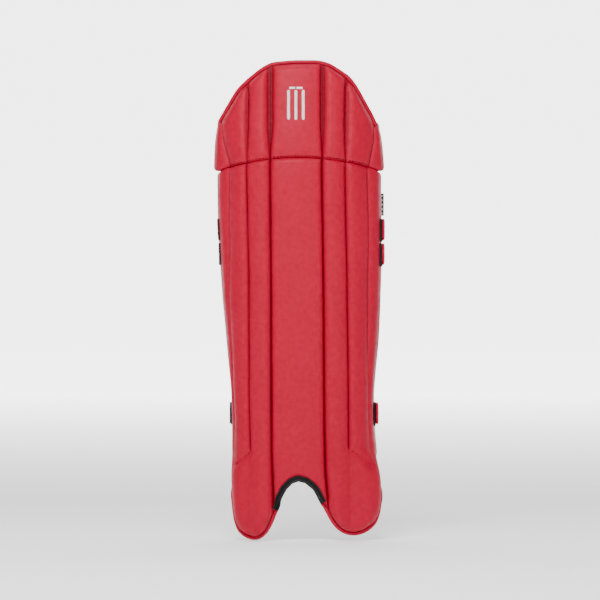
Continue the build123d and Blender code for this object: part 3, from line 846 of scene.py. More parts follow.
@dataclass(frozen=True)
class Leather:
    """Satin coated leather cloth, with a fine grain, a random darker mottle and painted shade where the cover
    sinks into grooves.
    """

    name: str
    lit: Colour
    worn: Colour
    # deep is the dark colour of the random mottle and of the painted shade in grooves.
    deep: Colour
    roughness: float = 0.50
    grain: float = 0.00013

    def make(self) -> bpy.types.Material:
        """Builds the material."""
        finish = Finish(self.name)
        fold = finish.node("ShaderNodeAttribute", {"attribute_name": "fold"}, out="Fac")
        broad = finish.noise(14, 3)
        mottled = finish.noise(160, 4)
        pores = finish.node("ShaderNodeTexVoronoi", {"feature": "DISTANCE_TO_EDGE"},
                            {"Vector": finish.place(), "Scale": 900.0}, out="Distance")
        fine = finish.noise(2600, 2)
        colour = finish.mix((broad - 0.3) * 0.9, self.lit, self.worn)
        colour = finish.mix(mottled.between(0.35, 0.75) * 0.22, colour, self.deep)
        # Painted shade: the colour goes towards the dark colour where the cover lies deep in a groove, at the
        # knee seam or on a rolled edge.
        colour = finish.mix(fold.between(0.25, 1.0) ** 1.5 * 0.85, colour, self.deep)
        rub = finish.noise(45, 5).between(0.52, 0.72) * (1 - fold.between(0.0, 0.3))
        rough = self.roughness + rub * 0.1 + (mottled - 0.5) * 0.16 + fold * 0.1
        height = pores.between(0.0, 0.35) * 0.7 + fine * 0.3
        creases = finish.bump(finish.noise(70, 4), 0.0009, 0.35)
        finish.surface(Base_Color=colour, Roughness=rough, Coat_Weight=0.02, Coat_Roughness=0.35,
                       Specular_IOR_Level=0.14, Normal=finish.bump(height, self.grain, 0.6, creases))
        return finish.material


class Weave(str, Enum):
    """How a cloth is made."""

    PLAIN = "plain"
    RIBBED = "ribbed"
    KNIT = "knit"
    PILE = "pile"


@dataclass(frozen=True)
class Cloth:
    """Woven, ribbed, knitted or piled cloth, laid out on the piece's cloth coordinates."""

    name: str
    lit: Colour
    deep: Colour
    weave: Weave
    pitch: float = 0.0012
    depth: float = 0.0003
    roughness: float = 0.85
    sheen: float = 0.25
    gloss: float = 0.4

    def height(self, finish: Finish) -> Wire:
        """Height of the threads, from 0 to 1."""
        across, along = finish.cloth()
        turn = 2 * math.pi / self.pitch
        if self.weave is Weave.PLAIN:
            warp = (across * turn).sine() * 0.5 + 0.5
            weft = (along * turn).sine() * 0.5 + 0.5
            swap = ((across * turn * 0.5).sine() * (along * turn * 0.5).sine()).greater(0.0)
            return warp * swap + weft * (1 - swap)
        if self.weave is Weave.RIBBED:
            rib = (along * turn).sine() * 0.5 + 0.5
            chain = ((across * turn * 0.5).sine() * 0.5 + 0.5) * 0.35
            return rib * 0.75 + chain
        if self.weave is Weave.KNIT:
            lean = (along * turn).sine() * self.pitch * 0.25
            loop = ((across + lean) * turn).sine() * 0.5 + 0.5
            rows = (along * turn).sine() * 0.5 + 0.5
            return loop * 0.6 + rows * 0.4
        return finish.noise(1 / self.pitch, 3)

    def make(self) -> bpy.types.Material:
        """Builds the material."""
        finish = Finish(self.name)
        height = self.height(finish)
        fuzz = finish.noise(2200, 2)
        shade = finish.noise(30, 3)
        # For plain, ribbed and knitted cloth the low parts of the weave take the dark colour, a painted shade
        # between the threads; for pile the height is random noise.
        colour = finish.mix(height.between(0.1, 0.8) * 0.8 + fuzz * 0.2, self.deep, self.lit)
        colour = finish.mix((shade - 0.4) * 0.7, colour, self.deep)
        rough = self.roughness + (fuzz - 0.5) * 0.15
        finish.surface(Base_Color=colour, Roughness=rough, Sheen_Weight=self.sheen, Sheen_Roughness=0.5,
                       Specular_IOR_Level=self.gloss,
                       Normal=finish.bump(height + fuzz * 0.25, self.depth, 0.8))
        return finish.material


@dataclass(frozen=True)
class Foam:
    """Open-celled foam."""

    name: str
    lit: Colour
    deep: Colour

    def make(self) -> bpy.types.Material:
        """Builds the material."""
        finish = Finish(self.name)
        cells = finish.node("ShaderNodeTexVoronoi", values={"Vector": finish.place(), "Scale": 900.0},
                            out="Distance")
        # Painted shade: the low places between the cells are coloured darker.
        colour = finish.mix(cells.between(0.1, 0.7), self.lit, self.deep)
        finish.surface(Base_Color=colour, Roughness=0.92 - finish.noise(200) * 0.1,
                       Normal=finish.bump(1 - cells, 0.0003))
        return finish.material


@dataclass(frozen=True)
class Moulded:
    """Moulded or sawn sheet with a fine satin texture."""

    name: str
    lit: Colour
    deep: Colour
    roughness: float = 0.5

    def make(self) -> bpy.types.Material:
        """Builds the material."""
        finish = Finish(self.name)
        speck = finish.noise(1400, 3)
        colour = finish.mix(finish.noise(25, 3), self.lit, self.deep)
        finish.surface(Base_Color=colour, Roughness=self.roughness + (speck - 0.5) * 0.2,
                       Normal=finish.bump(speck, 0.00008, 0.5))
        return finish.material


@dataclass(frozen=True)
class LabelCloth:
    """Woven label: a dark ground with plain pale bars in a border."""

    name: str
    ground: Colour
    bars: Colour
    width: float
    length: float

    def make(self) -> bpy.types.Material:
        """Builds the material."""
        finish = Finish(self.name)
        across, along = finish.cloth()
        ribs = (along * (2 * math.pi / 0.0005)).sine() * 0.5 + 0.5
        u, v = (across - LABEL_ROOT) / self.width, along / self.length
        inside = ((u - 0.5).size().between(0.34, 0.33)) * ((v - 0.5).size().between(0.43, 0.42))
        blocks = (v * 5.0).repeat(1.0)
        bars = (blocks - 0.5).size().between(0.24, 0.20) * inside
        colour = finish.mix(bars, self.ground, self.bars)
        # Painted shade: the cloth is darkened between the ribs.
        colour = finish.mix((1 - ribs) * 0.3, colour, self.ground)
        finish.surface(Base_Color=colour, Roughness=0.6 + ribs * 0.15, Sheen_Weight=0.3,
                       Normal=finish.bump(ribs + bars * 0.5, 0.0001, 0.6))
        return finish.material


# The deep red serves both the random mottle and the painted shade in the cover's grooves.
RED_LIT, RED_WORN, RED_MOTTLE_AND_SHADE = (0.42, 0.0004, 0.024), (0.48, 0.0008, 0.032), (0.13, 0.0001, 0.006)
BLACK_LIT, BLACK_DEEP = (0.0075, 0.0072, 0.0078), (0.002, 0.002, 0.0022)

def thread(name: str, lit: Colour, deep: Colour) -> Cloth:
    """Matt twisted sewing thread."""
    return Cloth(name, lit, deep, Weave.PILE, 0.0006, 0.0001, 0.7, 0.0, 0.1)


def webbing(name: str, lit: Colour) -> Cloth:
    """Plain-woven black webbing."""
    return Cloth(name, lit, BLACK_DEEP, Weave.PLAIN, 0.0020, 0.0004, 0.7, 0.05, 0.2)


FINISHES = {
    "red_cover": Leather("Red_satin_leather", RED_LIT, RED_WORN, RED_MOTTLE_AND_SHADE),
    "red_piping": Leather("Red_piping_leather", RED_LIT, RED_WORN, RED_MOTTLE_AND_SHADE, roughness=0.46, grain=0.00008),
    "red_binding": Leather("Red_edge_leather", RED_LIT, RED_WORN, RED_MOTTLE_AND_SHADE, roughness=0.4, grain=0.00008),
    "channel_foam": Foam("Charcoal_channel_foam", (0.075, 0.073, 0.075), (0.030, 0.030, 0.032)),
    "backing_board": Moulded("Dark_fibre_board", (0.05, 0.05, 0.052), (0.03, 0.03, 0.032), 0.6),
    "lining_cloth": Cloth("Charcoal_lining_knit", (0.060, 0.060, 0.066), (0.014, 0.014, 0.016),
                          Weave.KNIT, 0.0022, 0.00035),
    "cushion_cloth": Cloth("Charcoal_cushion_cloth", (0.075, 0.075, 0.080), (0.020, 0.020, 0.022),
                           Weave.PILE, 0.0011, 0.0002, sheen=0.15),
    "black_binding": Cloth("Black_ribbed_binding", BLACK_LIT, BLACK_DEEP, Weave.RIBBED, 0.0016, 0.0003, 0.7,
                            0.02, 0.12),
    "strap_webbing": webbing("Black_strap_webbing", (0.018, 0.018, 0.019)),
    "anchor_webbing": webbing("Black_anchor_webbing", (0.016, 0.016, 0.017)),
    "loop_pile": Cloth("Black_loop_pile", (0.018, 0.018, 0.019), BLACK_DEEP, Weave.PILE, 0.0009, 0.0005, 0.95,
                       0.05, 0.15),
    "tab_black": Cloth("Black_tab_cloth", BLACK_LIT, BLACK_DEEP, Weave.PLAIN, 0.0012, 0.0002, 0.7,
                       0.02, 0.15),
    "tab_rim_red": Leather("Red_tab_rim", RED_LIT, RED_WORN, RED_MOTTLE_AND_SHADE, roughness=0.38, grain=0.00006),
    "label_cloth": LabelCloth("Black_woven_label", (0.012, 0.012, 0.014), (0.55, 0.54, 0.52), 0.0048, 0.031),
    "emblem_white": Leather("White_emblem_film", (0.80, 0.79, 0.78), (0.74, 0.72, 0.70), (0.40, 0.36, 0.35),
                            roughness=0.4, grain=0.00005),
}


RED_THREAD = thread("Red_sewing_thread", (0.20, 0.004, 0.010), (0.06, 0.001, 0.003))
PALE_THREAD = thread("Pale_sewing_thread", (0.75, 0.70, 0.69), (0.40, 0.34, 0.34))
BLACK_THREAD = thread("Black_sewing_thread", (0.05, 0.05, 0.052), (0.015, 0.015, 0.016))


@dataclass
class Wardrobe:
    """Every finish, made once."""

    made: dict[str, bpy.types.Material] = field(default_factory=dict)

    def get(self, finish: Leather | Cloth | Foam | Moulded | LabelCloth) -> bpy.types.Material:
        """Material of a finish."""
        if finish.name not in self.made:
            self.made[finish.name] = finish.make()
        return self.made[finish.name]

    def dress(self, piece: bpy.types.Object, slot: str) -> None:
        """Gives a piece the finish of a slot of the record."""
        piece.data.materials.clear()
        piece.data.materials.append(self.get(FINISHES[slot]))


WARDROBE = Wardrobe()


def carry(piece: bpy.types.Object, body: str | None) -> None:
    """Rides a piece on its body, or applies its transform and leaves it unparented where no body is named, as
    for pieces across the knee seam.
    """
    if body:
        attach(piece, body)
    else:
        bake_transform(piece)
    log.info("%s on %s: %d faces", piece.name, body or "both halves", len(piece.data.polygons))


def hand_over(piece: bpy.types.Object, slot: str, body: str | None, *nodes: str) -> bpy.types.Object:
    """Dresses a piece, hides the CAD nodes that it stands for and carries it on its body.

    Args:
        piece: The finished piece.
        slot: Material slot of the frame.
        body: Body that it rides on, or None for a piece sewn across the knee seam.
        nodes: CAD nodes that it stands for.

    Returns:
        The piece.
    """
    WARDROBE.dress(piece, slot)
    if nodes:
        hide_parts(*nodes)
    carry(piece, body)
    return piece


# --- The two padded halves ---

SHIN_GROOVES = {
    2: Groove(2.6, 9, 9), 3: Groove(6.5, 8, 8), 4: Groove(8.5, 8, 8),
    5: Groove(8.5, 8, 8), 6: Groove(6.5, 8, 8), 7: Groove(2.6, 9, 9),
}
KNEE_GROOVES = {
    2: Groove(3.2, 9, 9), 3: Groove(6.0, 8, 7, 0.6, 2.6), 4: Groove(7.5, 7, 6, 0.7, 4.4),
    5: Groove(7.5, 6, 7, 0.7, 3.2), 6: Groove(6.0, 7, 8, 0.6, 3.0), 7: Groove(3.2, 9, 9),
}
CROWNS = (0.5, 0.8, 2.4, 3.0, 3.0, 3.0, 2.4, 0.8, 0.5)
BAR_NAMES = ("left_wing", "left_outer", "left_inner", "centre", "right_inner", "right_outer", "right_wing")
BAR_COLUMNS = ((0, 2), (2, 3), (3, 4), (4, 5), (5, 6), (6, 7), (7, 9))
LOBE_FOAMS = {"left_inner": "left_lobe_foam", "right_inner": "right_lobe_foam"}
GROOVE_STEPS = (0.0, 0.8, 1.2, 1.9, 2.8, 3.8, 4.8, 6.0, 7.5, 9.5, 12.0)
ROW_STEPS = (0.0, 0.4, 1.0, 1.9, 3.1, 4.7, 6.8, 9.5)
TURNED_IN = (2.0, 5.0, 9.0)            # steps of the cover's edge that is turned in at the knee seam
FOAM_SHORT, FOAM_BEHIND = 6.0, 1.4     # how far the foam stops short of the cover's ends and face


@dataclass
class PaddedHalf:
    """Cover, lining and foam of the knee or the shin."""

    prefix: str
    section: Section
    rows: int
    step: float = 4.0
    skin: float = 1.2
    lining_thick: float = 1.5
    lining_step: int = 2
    foam_gap: float = 7.0

    def panel_sizes(self) -> np.ndarray:
        """Width of each panel half-way up."""
        middle = np.array([0.5 * (self.section.low(4.5) + self.section.high(4.5))])
        return np.linalg.norm(np.diff(self.section.crest(middle)[0], axis=0), axis=1)

    def stations(self, step: float) -> np.ndarray:
        """Columns across the pad, crowded beside the grooves, with a largest step in millimetres."""
        stations = []
        for panel, size in enumerate(self.panel_sizes()):
            count = max(3, math.ceil((size - 2 * GROOVE_STEPS[-1]) / step) + 1)
            stations.extend(panel + crowded(size, count, GROOVE_STEPS)[:-1] / size)
        return np.array(stations + [LAST])

    def heights(self, w: float, rows: int) -> np.ndarray:
        """Heights of a column's points."""
        low, high = self.section.low(w), self.section.high(w)
        return low + crowded(high - low, rows, ROW_STEPS)

    def cover(self) -> bpy.types.Object:
        """Leather cover, with its edge at the knee seam turned in, and a share of painted shade at each
        point.
        """
        stations = self.stations(self.step)
        columns, fold_shades, cloth = [], [], []
        for w in stations:
            heights = self.heights(w, self.rows)
            place = self.section.spot(w, heights)
            column, fold = self.section.on_cover(place, heights)
            sewn, step = (0, -1) if self.section.knee else (-1, 1)
            uv = np.column_stack([place.along, heights])
            inward = np.append(place.normal[sewn], 0.0)
            turned = np.array([column[sewn] + inward * more for more in TURNED_IN])
            turned_uv = np.array([uv[sewn] + (0, step * more) for more in TURNED_IN])
            # The turned-in edge at the knee seam takes the full painted shade.
            darkest = np.ones(len(TURNED_IN))
            if self.section.knee:
                parts = (turned[::-1], column), (darkest, fold), (turned_uv[::-1], uv)
            else:
                parts = (column, turned), (fold, darkest), (uv, turned_uv)
            for table, pair in zip((columns, fold_shades, cloth), parts):
                table.append(np.concatenate(pair))
        points = np.array(columns)
        # The attribute handed over here carries the painted shade of the grooves and rolled edges to the
        # leather.
        made = as_object(f"{self.prefix}_cover_leather", to_frame(points.reshape(-1, 3)),
                         grid_faces(points.shape[0], points.shape[1]), np.array(cloth).reshape(-1, 2) * MM,
                         {"fold": np.array(fold_shades)})
        finish_with(made, "SOLIDIFY", thickness=self.skin * MM, offset=-1.0)
        return made

    def on_lining(self, w: float, place: Spot, heights: np.ndarray, behind: float = 0.0) -> np.ndarray:
        """Points of the lining's rear face, or a distance behind it, in layout millimetres."""
        full = np.interp(min(w, LAST - w), range(5), THICKNESS) + LINING_BEHIND
        spots = self.section.spots(place, heights)
        edge = dip(path_distance(spots, self.section.edge_path), LINING_SHOULDER)
        seam = dip(path_distance(spots, self.section.seam_path), 7.0, 0.4)
        slit = sum(dip(path_distance(spots, path), SLIT_SHOULDER) for path in self.section.slit_paths)
        quilt = np.cos(place.along * 2 * math.pi / QUILT_PITCH) * QUILT_DEPTH
        depth = (full - LINING_PULL * np.maximum(seam, slit) + quilt) * (1 - edge) + behind
        flat = (place.base + place.normal * depth[:, None]
                + self.section.backward(place) * ((rim_depth(w, self.section.knee) + 3.0) * edge)[:, None])
        return np.column_stack([flat, heights])

    def lining(self) -> bpy.types.Object:
        """Lining cloth over the back of the pad."""
        columns, cloth = [], []
        for w in self.stations(2 * self.step):
            heights = self.heights(w, self.rows // self.lining_step)
            place = self.section.spot(w, heights)
            columns.append(self.on_lining(w, place, heights))
            cloth.append(np.column_stack([place.along, heights]))
        points = np.array(columns)
        made = as_object(f"{self.prefix}_lining_cloth", to_frame(points.reshape(-1, 3)),
                         grid_faces(points.shape[0], points.shape[1], turned=True),
                         np.array(cloth).reshape(-1, 2) * MM)
        finish_with(made, "SOLIDIFY", thickness=self.lining_thick * MM, offset=-1.0)
        return made

    def bar(self, name: str, first: float, last: float) -> bpy.types.Object:
        """One upright foam bar between two grooves, just inside the cover."""
        rows, sizes = self.rows // 3, self.panel_sizes()
        start = first + self.foam_gap / sizes[int(first)]
        end = last - self.foam_gap / sizes[int(last) - 1]
        columns = []
        for w in np.linspace(start, end, 13 * int(last - first)):
            low, high = self.section.low(w) + FOAM_SHORT, self.section.high(w) - FOAM_SHORT
            heights = low + crowded(high - low, rows, (0.0, 1.5, 4.0, 8.0))
            place = self.section.spot(w, heights)
            columns.append((w, heights, place, self.section.sewn_depth(place, heights),
                            self.section.edge_roll(place, heights)))
        sewn, rolled = (deepest(np.array([column[index] for column in columns])) for index in (3, 4))
        fronts, backs = [], []
        for (w, heights, place, _, _), pressed, away in zip(columns, sewn, rolled):
            flat = (place.base + place.normal * (pressed + self.skin + FOAM_BEHIND)[:, None]
                    + self.section.backward(place) * away[:, None])
            front = np.column_stack([flat, heights])
            rear = self.on_lining(w, place, heights, -LINING_BEHIND)
            gap = np.sum((rear - front)[:, :2] * place.normal, axis=1)
            rear[:, :2] += np.maximum(1.0 - gap, 0)[:, None] * place.normal
            fronts.append(to_frame(front))
            backs.append(to_frame(rear))
        return closed_slab(f"{self.prefix}_{name}_foam", np.array(fronts), np.array(backs))

    def build(self) -> None:
        """Makes and hands over every piece of this half."""
        body = None if self.section.knee else Body.SHIN.value
        hand_over(self.cover(), "red_cover", body, f"{self.prefix}_cover")
        hand_over(self.lining(), "lining_cloth", body, f"{self.prefix}_lining")
        for name, (first, last) in zip(BAR_NAMES, BAR_COLUMNS):
            piece = self.bar(name, first, last)
            nodes = [f"{self.prefix}_{name}_bar"]
            if body and name in LOBE_FOAMS:
                nodes.append(LOBE_FOAMS[name])
            hand_over(piece, "channel_foam", body, *nodes)


# --- Piping and bindings ---


PIPING_RADIUS, PIPING_TUCK = 3.0, 0.8
WING_TURN, TRIM_LAP = 1.9, 0.02        # column where a wing's edge meets the lobe's, and their overlap
BINDING_PROUD = 1.3        # how far the instep's binding stands before the cover
BINDING_FOLD = ((0.35, -4.0), (0.75, -2.0), (0.95, 0.5), (0.75, 3.0))  # share of the rim, and depth


def edge_places(section: Section, stretch: Iterable[tuple[float, float]]) -> list[tuple[float, float]]:
    """Even places along a free edge.

    Args:
        section: The half of the pad.
        stretch: Columns and heights that lead the way.

    Returns:
        (column, height) pairs about 3 mm apart.
    """
    places = list(stretch)
    spots = []
    for w, height in places:
        place = section.spot(w, np.array([height]))
        spots.append((place.along[0], height))
    gaps = np.linalg.norm(np.diff(np.array(spots), axis=0), axis=1)
    length = np.concatenate([[0], np.cumsum(gaps)])
    even = np.linspace(0, length[-1], max(3, int(length[-1] / 3.0)))
    table = np.array(places)
    columns, heights = (np.interp(even, length, table[:, index]) for index in (0, 1))
    return [(float(w), float(height)) for w, height in zip(columns, heights)]


def edge_curve(section: Section, places: Sequence[tuple[float, float]], side: int
               ) -> tuple[np.ndarray, np.ndarray]:
    """Middle of the piping along an edge.

    Args:
        section: The half of the pad.
        places: Columns and heights of the cover's edge.
        side: 1 where the outside lies to the left of the way along, -1 to the right.

    Returns:
        Points in the frame, and the outward directions of the surface there.
    """
    points, ups, outsets = [], [], []
    outline = np.array(TOP_OUTLINE if section.knee else BOTTOM_OUTLINE, float)
    for w, height in places:
        place = section.spot(w, np.array([height]))
        flat = place.base[0] + section.backward(place)[0] * rim_depth(w, section.knee)
        points.append([*flat, height])
        reach = min(w, LAST - w)
        front = float(np.clip((reach - 1.9) / 0.6, 0, 1))
        ups.append([*-unit(place.normal[0] * (1 - front) + np.array([0.0, 1.0]) * front), 0.0])
        inset = float(np.interp(place.base[0, 0], outline[:, 0], outline[:, 2]))
        outsets.append(np.interp(reach, (1.4, 2.0), (PIPING_RADIUS - PIPING_TUCK, inset - PIPING_RADIUS)))
    points, ups = np.array(points), np.array(ups)
    outset = np.convolve(np.pad(outsets, 3, mode="edge"), np.ones(7) / 7, mode="valid")[:, None]
    for _ in range(3):
        points[1:-1] = (points[:-2] + 2 * points[1:-1] + points[2:]) / 4
    outward = unit(np.cross(ups, np.gradient(points, axis=0))) * side
    for _ in range(6):
        outward[1:-1] = (outward[:-2] + 2 * outward[1:-1] + outward[2:]) / 4
    return to_frame(points + unit(outward) * outset), ups


@dataclass
class Trim:
    """Pipings and bindings round the free edges."""

    shin: Section
    knee: Section
    arch_width: float = 8.2
    arch_columns: tuple[float, float] = (4.035, 4.905)

    def bottom(self, first: float, last: float, count: int = 220) -> list[tuple[float, float]]:
        """Places along the shin's free edge between two columns."""
        return edge_places(self.shin, [(w, self.shin.low(w)) for w in np.linspace(first, last, count)])

    def rim(self, w: float, low: float, high: float) -> list[tuple[float, float]]:
        """Places up a wing's rear edge."""
        return [(w, height) for height in np.linspace(low, high, 12)]

    def piped(self, name: str, section: Section, places: Sequence[tuple[float, float]], side: int
              ) -> bpy.types.Object:
        """Round piping just outside the cover's edge."""
        path, ups = edge_curve(section, places, side)
        return swept(name, path, round_profile(PIPING_RADIUS * MM, 16), ups)

    def shin_edges(self) -> None:
        """Piping round both lobes and the folded edges up the wings."""
        rim_low = WING_BOTTOM[0][1]
        for side, w, turn in (("left", 0.0, WING_TURN), ("right", float(LAST), LAST - WING_TURN)):
            high = self.shin.high(w) - 1.0
            places = edge_places(self.shin, self.rim(w, high, rim_low)
                                 + [(v, self.shin.low(v)) for v in np.linspace(w, turn, 90)])
            hand_over(self.piped(f"{side}_edge_piping", self.shin, places, -1 if side == "left" else 1),
                      "red_binding", Body.SHIN.value, f"{side}_edge_binding")
        first, last = self.arch_columns
        for side, columns in (("left", (WING_TURN - TRIM_LAP, first + TRIM_LAP / 2)),
                              ("right", (LAST - WING_TURN + TRIM_LAP, last - TRIM_LAP / 2))):
            hand_over(self.piped(f"{side}_lobe_round_piping", self.shin, self.bottom(*columns),
                                 -1 if side == "left" else 1),
                      "red_piping", Body.SHIN.value, f"{side}_lobe_piping")

    def knee_edge(self) -> None:
        """Piping over the top of the knee and down both wings."""
        section = self.knee
        places = edge_places(
            section,
            [(0.0, height) for height in np.linspace(section.low(0), section.high(0), 8)]
            + [(w, section.high(w)) for w in np.linspace(0, LAST, 400)]
            + [(float(LAST), height) for height in np.linspace(section.high(LAST), section.low(LAST), 8)])
        hand_over(self.piped("top_round_piping", section, places, 1), "red_piping", None, "top_piping")

    def arch(self) -> None:
        """Ribbed black binding folded over the edge of the instep's arch."""
        places = edge_places(self.shin, [(w, self.shin.low(w)) for w in np.linspace(*self.arch_columns, 160)])
        flat = np.array([[self.shin.front_x(w, height), height] for w, height in places])
        ways = unit(np.gradient(flat, axis=0))
        inward = np.column_stack([-ways[:, 1], ways[:, 0]])
        outline = np.array(BOTTOM_OUTLINE, float)
        rims = np.interp(np.pad(flat[:, 0], 3, mode="edge"), outline[:, 0], outline[:, 2])
        rims = np.convolve(rims, np.ones(7) / 7, mode="valid")
        columns, cloth, stitches, length = [], [], [], 0.0
        for index, ((x, height), way, rim) in enumerate(zip(flat, inward, rims)):
            ring, rear = [], []
            for inset in np.linspace(self.arch_width - rim, 0.3, 7):
                spot_z = height + way[1] * inset
                w = self.shin.column_at(x + way[0] * inset, spot_z)
                place = self.shin.spot(w, np.array([spot_z]))
                sewn = min(float(self.shin.sewn_depth(place, np.array([spot_z]))[0]), 1.0)
                away = float(self.shin.edge_roll(place, np.array([spot_z]))[0])
                front_y = place.base[0, 1] + sewn * (1 - away / 20) + away - BINDING_PROUD
                ring.append([place.base[0, 0], front_y, spot_z])
                behind = PADDED_SHIN.on_lining(w, place, np.array([spot_z]), 0.8)[0]
                rear.append([place.base[0, 0], behind[1], spot_z])
            rim_y = self.shin.spot(places[index][0], np.array([height])).base[0, 1] + FRONT_RIM_DEPTH
            for share, depth in BINDING_FOLD:
                inset = -share * rim
                ring.append([x + way[0] * inset, rim_y + depth, height + way[1] * inset])
            stitches.append([ring[1][0], ring[1][1] - 1.0, ring[1][2]])
            ring = to_frame(np.array(ring + rear[::-1]))
            columns.append(ring)
            if index:
                length += float(np.linalg.norm(flat[index] - flat[index - 1]))
            around = np.concatenate([[0], np.cumsum(np.linalg.norm(np.diff(ring, axis=0), axis=1))])
            cloth.append(np.column_stack([around, np.full(len(ring), length * MM)]))
        grid = np.array(columns)
        made = as_object("instep_ribbed_binding", grid.reshape(-1, 3),
                         grid_faces(*grid.shape[:2], turned=True), np.array(cloth).reshape(-1, 2))
        finish_with(made, "SOLIDIFY", thickness=0.8 * MM, offset=1.0)
        hand_over(made, "black_binding", Body.SHIN.value, "instep_binding")
        line = to_frame(np.array(stitches))
        STITCHING.sew("instep_binding_stitches", [line], Body.SHIN.value, BLACK_THREAD, 0.0034, 0.0004)

    def build(self) -> None:
        """Makes every edge."""
        self.shin_edges()
        self.knee_edge()
        self.arch()


# --- Cushions behind the lining ---


@dataclass(frozen=True)
class CushionPlan:
    """A cushion's columns, heights, depth and sewn channels."""

    name: str
    first: float
    last: float
    low: float
    high: float
    depth: float
    channels: int = 0
    across: bool = True
    puff: float = 1.5


CUSHIONS = (
    CushionPlan("knee_roll_lower", 3.3, 5.7, 534, 576, 20.0),
    CushionPlan("knee_roll_upper", 3.3, 5.7, 580, 622, 18.0),
    CushionPlan("left_bolster", 3.3, 4.4, 135, 470, 22.0, 5),
    CushionPlan("right_bolster", 4.6, 5.7, 135, 470, 22.0, 5),
    CushionPlan("instep_cushion", 4.12, 4.88, 97, 128, 9.0),
    CushionPlan("left_wing_cushion", 0.25, 0.9, 160, 470, 8.0, 6),
    CushionPlan("right_wing_cushion", 8.1, 8.75, 160, 470, 8.0, 6),
)


PRESSURE, CLOTH_STEPS = 4.0, 20
LONG_CUSHION = 100.0       # cushions taller than this have a waist and blunt ends


@dataclass
class CushionMaker:
    """Stuffed cushions on the inside of the pad."""

    half: PaddedHalf
    plan: CushionPlan
    voxel: float = 0.005

    def base_point(self, w: float, height: float, behind: float) -> np.ndarray:
        """Place behind the lining at a column and height, in layout millimetres."""
        place = self.half.section.spot(w, np.array([height]))
        full = np.interp(min(w, LAST - w), range(5), THICKNESS) + LINING_BEHIND
        flat = place.base[0] + place.normal[0] * (full + behind)
        return np.array([flat[0], flat[1], height])

    def shell(self) -> bpy.types.Object:
        """Crowned closed form, with its sides pulled in between the corners."""
        plan = self.plan
        tall = plan.high - plan.low
        long = tall > LONG_CUSHION

        def place(u: float, v: float) -> tuple[np.ndarray, np.ndarray]:
            """Points against the lining and on the cushion's crown."""
            waist = 1 - 0.06 * math.sin(math.pi * v) if long else 1.0
            w = plan.first + (plan.last - plan.first) * (0.5 + (u - 0.5) * waist)
            lift = 1 - 0.05 * math.sin(math.pi * u)
            height = plan.low + tall * (0.5 + (v - 0.5) * lift)
            ends = 1 - abs(2 * v - 1) ** (14 if long else 3)
            rise = ((1 - abs(2 * u - 1) ** 3) * ends) ** 0.6
            return (to_frame(self.base_point(w, height, 0.2)),
                    to_frame(self.base_point(w, height, 1.2 + (plan.depth - 3.2) * rise)))

        rows = max(12, int(tall / 4.0))
        return slab_by(f"{plan.name}_stuffed", np.linspace(0, 1, 17), np.linspace(0, 1, rows), place)

    def stuff(self, piece: bpy.types.Object) -> None:
        """Swells a cushion with air pressure, and caps how far each point moves."""
        scene = bpy.context.scene
        finish_with(piece, "REMESH", mode="VOXEL", voxel_size=self.voxel)
        start = np.array([vertex.co for vertex in piece.data.vertices])
        cloth = piece.modifiers.new("Cloth", "CLOTH")
        cloth.settings.use_pressure = True
        cloth.settings.uniform_pressure_force = PRESSURE
        cloth.settings.effector_weights.gravity = 0.0
        cloth.point_cache.frame_start, cloth.point_cache.frame_end = 1, CLOTH_STEPS
        for step in range(1, CLOTH_STEPS + 1):
            scene.frame_set(step)
        graph = bpy.context.evaluated_depsgraph_get()
        result = piece.evaluated_get(graph).to_mesh()
        moved = np.array([vertex.co for vertex in result.vertices]) - start
        piece.evaluated_get(graph).to_mesh_clear()
        piece.modifiers.clear()
        scene.frame_set(1)
        far = np.linalg.norm(moved, axis=1, keepdims=True)
        cap = self.plan.puff * MM
        moved *= np.minimum(1.0, cap / np.maximum(far, 1e-9))
        piece.data.vertices.foreach_set("co", (start + moved).ravel())

    def sew_channels(self, piece: bpy.types.Object) -> None:
        """Pulls the cloth in along the cushion's sewn channels and lays its cloth coordinates."""
        plan = self.plan
        points = np.array([vertex.co for vertex in piece.data.vertices])
        lines = np.linspace(plan.low, plan.high, plan.channels + 2)[1:-1] if plan.channels else []
        layout = points / MM - LAYOUT_SHIFT
        middle = layout[:, :2].mean(axis=0)
        towards = unit(self.base_point((plan.first + plan.last) / 2, (plan.low + plan.high) / 2, 0)[:2]
                       - self.base_point((plan.first + plan.last) / 2, (plan.low + plan.high) / 2, 10)[:2])
        reach = (layout[:, :2] - middle) @ towards
        share = np.clip((reach.max() - reach) / max(reach.max() - reach.min(), 1e-6), 0, 1)
        for line in lines:
            pull = dip(np.abs(layout[:, 2] - line), 11.0, 0.5) * plan.depth * 0.4 * share
            layout[:, :2] += towards * pull[:, None]
        piece.data.vertices.foreach_set("co", to_frame(layout).ravel())
        layer = piece.data.uv_layers.get("Cloth") or piece.data.uv_layers.new(name="Cloth")
        corners = np.empty(len(piece.data.loops), np.int32)
        piece.data.loops.foreach_get("vertex_index", corners)
        across = np.column_stack([layout @ np.array([towards[1], -towards[0], 0.0]), layout[:, 2]]) * MM
        layer.data.foreach_set("uv", across.astype(np.float32)[corners].ravel())

    def build(self) -> bpy.types.Object:
        """Makes the cushion and hands it over."""
        piece = self.shell()
        tidy_normals(piece)
        self.stuff(piece)
        finish_with(piece, "SUBSURF", levels=1, render_levels=1)
        self.sew_channels(piece)
        piece.data.polygons.foreach_set("use_smooth", [True] * len(piece.data.polygons))
        body = (Body.KNEE if self.half.section.knee else Body.SHIN).value
        return hand_over(piece, "cushion_cloth", body, self.plan.name)


# --- Straps, tabs and label ---


STRAP_STEPS = 72
TAB_CORNER = 0.0045        # radius of the tab rim's corners
TAB_STITCHES = 0.0012      # distance of the tab's stitches from its edge
TAB_MIDDLE = 0.003         # height of its middle stitches above its centre
TAB_SLOPE = 0.006          # reach of the soft slope round its core


